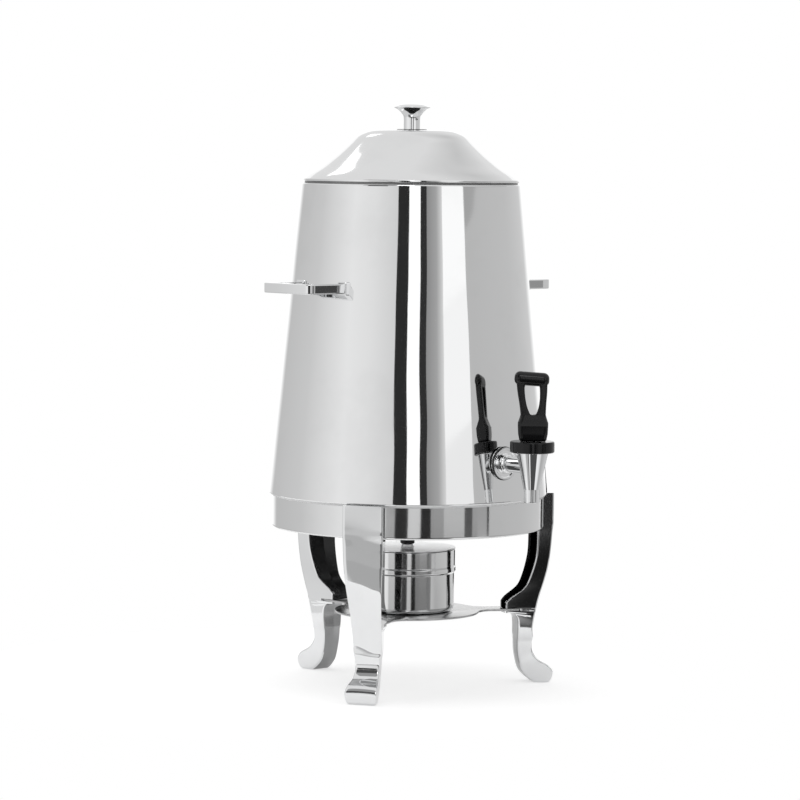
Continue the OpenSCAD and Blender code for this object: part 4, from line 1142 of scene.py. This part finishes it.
def softbox(name, turn_right, rise, distance, wide, tall, power):
    """A square lamp at an angle to the right of the camera and a rise, facing the urn."""
    lamp = bpy.data.lights.new(name, "AREA")
    lamp.shape = "RECTANGLE"
    lamp.size, lamp.size_y = wide, tall
    lamp.energy = power
    made = bpy.data.objects.new(name, lamp)
    bpy.context.scene.collection.objects.link(made)
    away = overhead(turn_right, rise)
    made.location = MIDDLE * MM + UP * 0.35 + away * distance
    made.rotation_euler = away.to_track_quat("Z", "Y").to_euler()
    made.visible_glossy = False


class URN_OT_studio(bpy.types.Operator):
    """Sets the floor, walls, lamps and camera"""

    bl_idname = "urn.studio"
    bl_label = "Studio"

    def execute(self, context):
        scene = context.scene
        scene.view_settings.view_transform = "Standard"
        radius = sizes().wall_radius
        before = radius - CARD_GAP
        disc("floor", sizes().floor_radius, MIDDLE * MM + FLOOR_SHIFT, floor_material())
        wall("wall", radius, -180, 180, GROUND_Z, WALL_TOP_Z, wall_material("wall", WALL_TONES))
        wall("grey_fade", before, 15.5, 31, *TANK_TIER, wall_material("grey_fade", GREY_TONES))
        for name, (first, last, low, high, tone) in CARDS.items():
            wall(name, before, first, last, low, high, card_material(name, tone))
        grounds = (("far_ground", radius, 0, FAR_TONES), ("near_ground", 2.2, 0.01, NEAR_TONES))
        for name, ground_r, rise, tones in grounds:
            disc(name, ground_r, MIDDLE * MM + UP * (GROUND_Z + rise), wall_material(name, tones))
        ceiling_card("lid_light", (-152, 37), (-152, 47), 0.8, 1.8)
        ceiling_card("toe_flag", (-35, 22), (-35, 42), 2.4, 0.08)
        ceiling_card("toe_flag_head", (-35, 42), (-35, 62), 2.4, 0.35)
        ceiling_card("ceiling_flag", (140, 25), (140, 78), 3.4, 0.66, soft=True)
        key = ceiling_card("key_light", (-16, 41), (4, 41), 0.9, 4)
        key.visible_diffuse = False
        world = bpy.data.worlds.new("studio_dome")
        scene.world = world
        world.use_nodes = True
        tree = world.node_tree
        tree.nodes.clear()
        dome, white = (add_node(tree, "Background", {"Color": grey(tone)}) for tone in (0.86, 1))
        by_ray(tree, "OutputWorld", dome, white)
        softbox("top_softbox", -60, 74, 2.6, 1.6, 1.6, 16)
        self.camera(scene)
        return {"FINISHED"}

    def camera(self, scene):
        """Places the camera at the photograph's angle."""
        pan = math.radians(CAMERA_TURN) + AXIS_SHIFT / FOCAL_PIXELS
        tilt = math.atan((IMAGE_WIDTH / 2 - HORIZON_ROW) / FOCAL_PIXELS)
        turned_to = Matrix.Identity(4)
        for angle, axis in ((pan, "Z"), (math.pi / 2 - tilt, "X"), (math.radians(CAMERA_ROLL), "Z")):
            turned_to = turned_to @ Matrix.Rotation(angle, 4, axis)
        place = MIDDLE * MM + UP * sizes().camera_height + overhead(0, 0) * sizes().camera_distance
        lens = bpy.data.cameras.new("photo_camera")
        lens.sensor_width = 36
        lens.lens = FOCAL_PIXELS * lens.sensor_width / IMAGE_WIDTH
        lens.clip_end = 50
        made = bpy.data.objects.new("photo_camera", lens)
        scene.collection.objects.link(made)
        made.matrix_world = Matrix.Translation(place) @ turned_to
        scene.camera = made


STEPS = (
    URN_OT_tank, URN_OT_legs, URN_OT_tray, URN_OT_burner, URN_OT_handles,
    URN_OT_tap, URN_OT_lever, URN_OT_lid, URN_OT_fittings, URN_OT_studio)


class URN_PT_panel(bpy.types.Panel):
    """Lists the steps that dress the urn"""

    bl_idname = "URN_PT_panel"
    bl_label = "Drinks urn"
    bl_space_type = "VIEW_3D"
    bl_region_type = "UI"
    bl_category = "Urn"

    def draw(self, context):
        for settings in (context.scene.urn_sizes, context.scene.urn_colours):
            box = self.layout.box()
            for label in settings.__annotations__:
                box.prop(settings, label)
        for step in STEPS:
            self.layout.operator(step.bl_idname)


CLASSES = (UrnSizes, UrnColours, *STEPS, URN_PT_panel)


def register():
    for each in CLASSES:
        bpy.utils.register_class(each)
    bpy.types.Scene.urn_sizes = PointerProperty(type=UrnSizes)
    bpy.types.Scene.urn_colours = PointerProperty(type=UrnColours)


def unregister():
    del bpy.types.Scene.urn_colours
    del bpy.types.Scene.urn_sizes
    for each in reversed(CLASSES):
        bpy.utils.unregister_class(each)


def main():
    register()
    for step in STEPS:
        group, name = step.bl_idname.split(".")
        getattr(getattr(bpy.ops, group), name)()


if __name__ == "__main__":
    main()
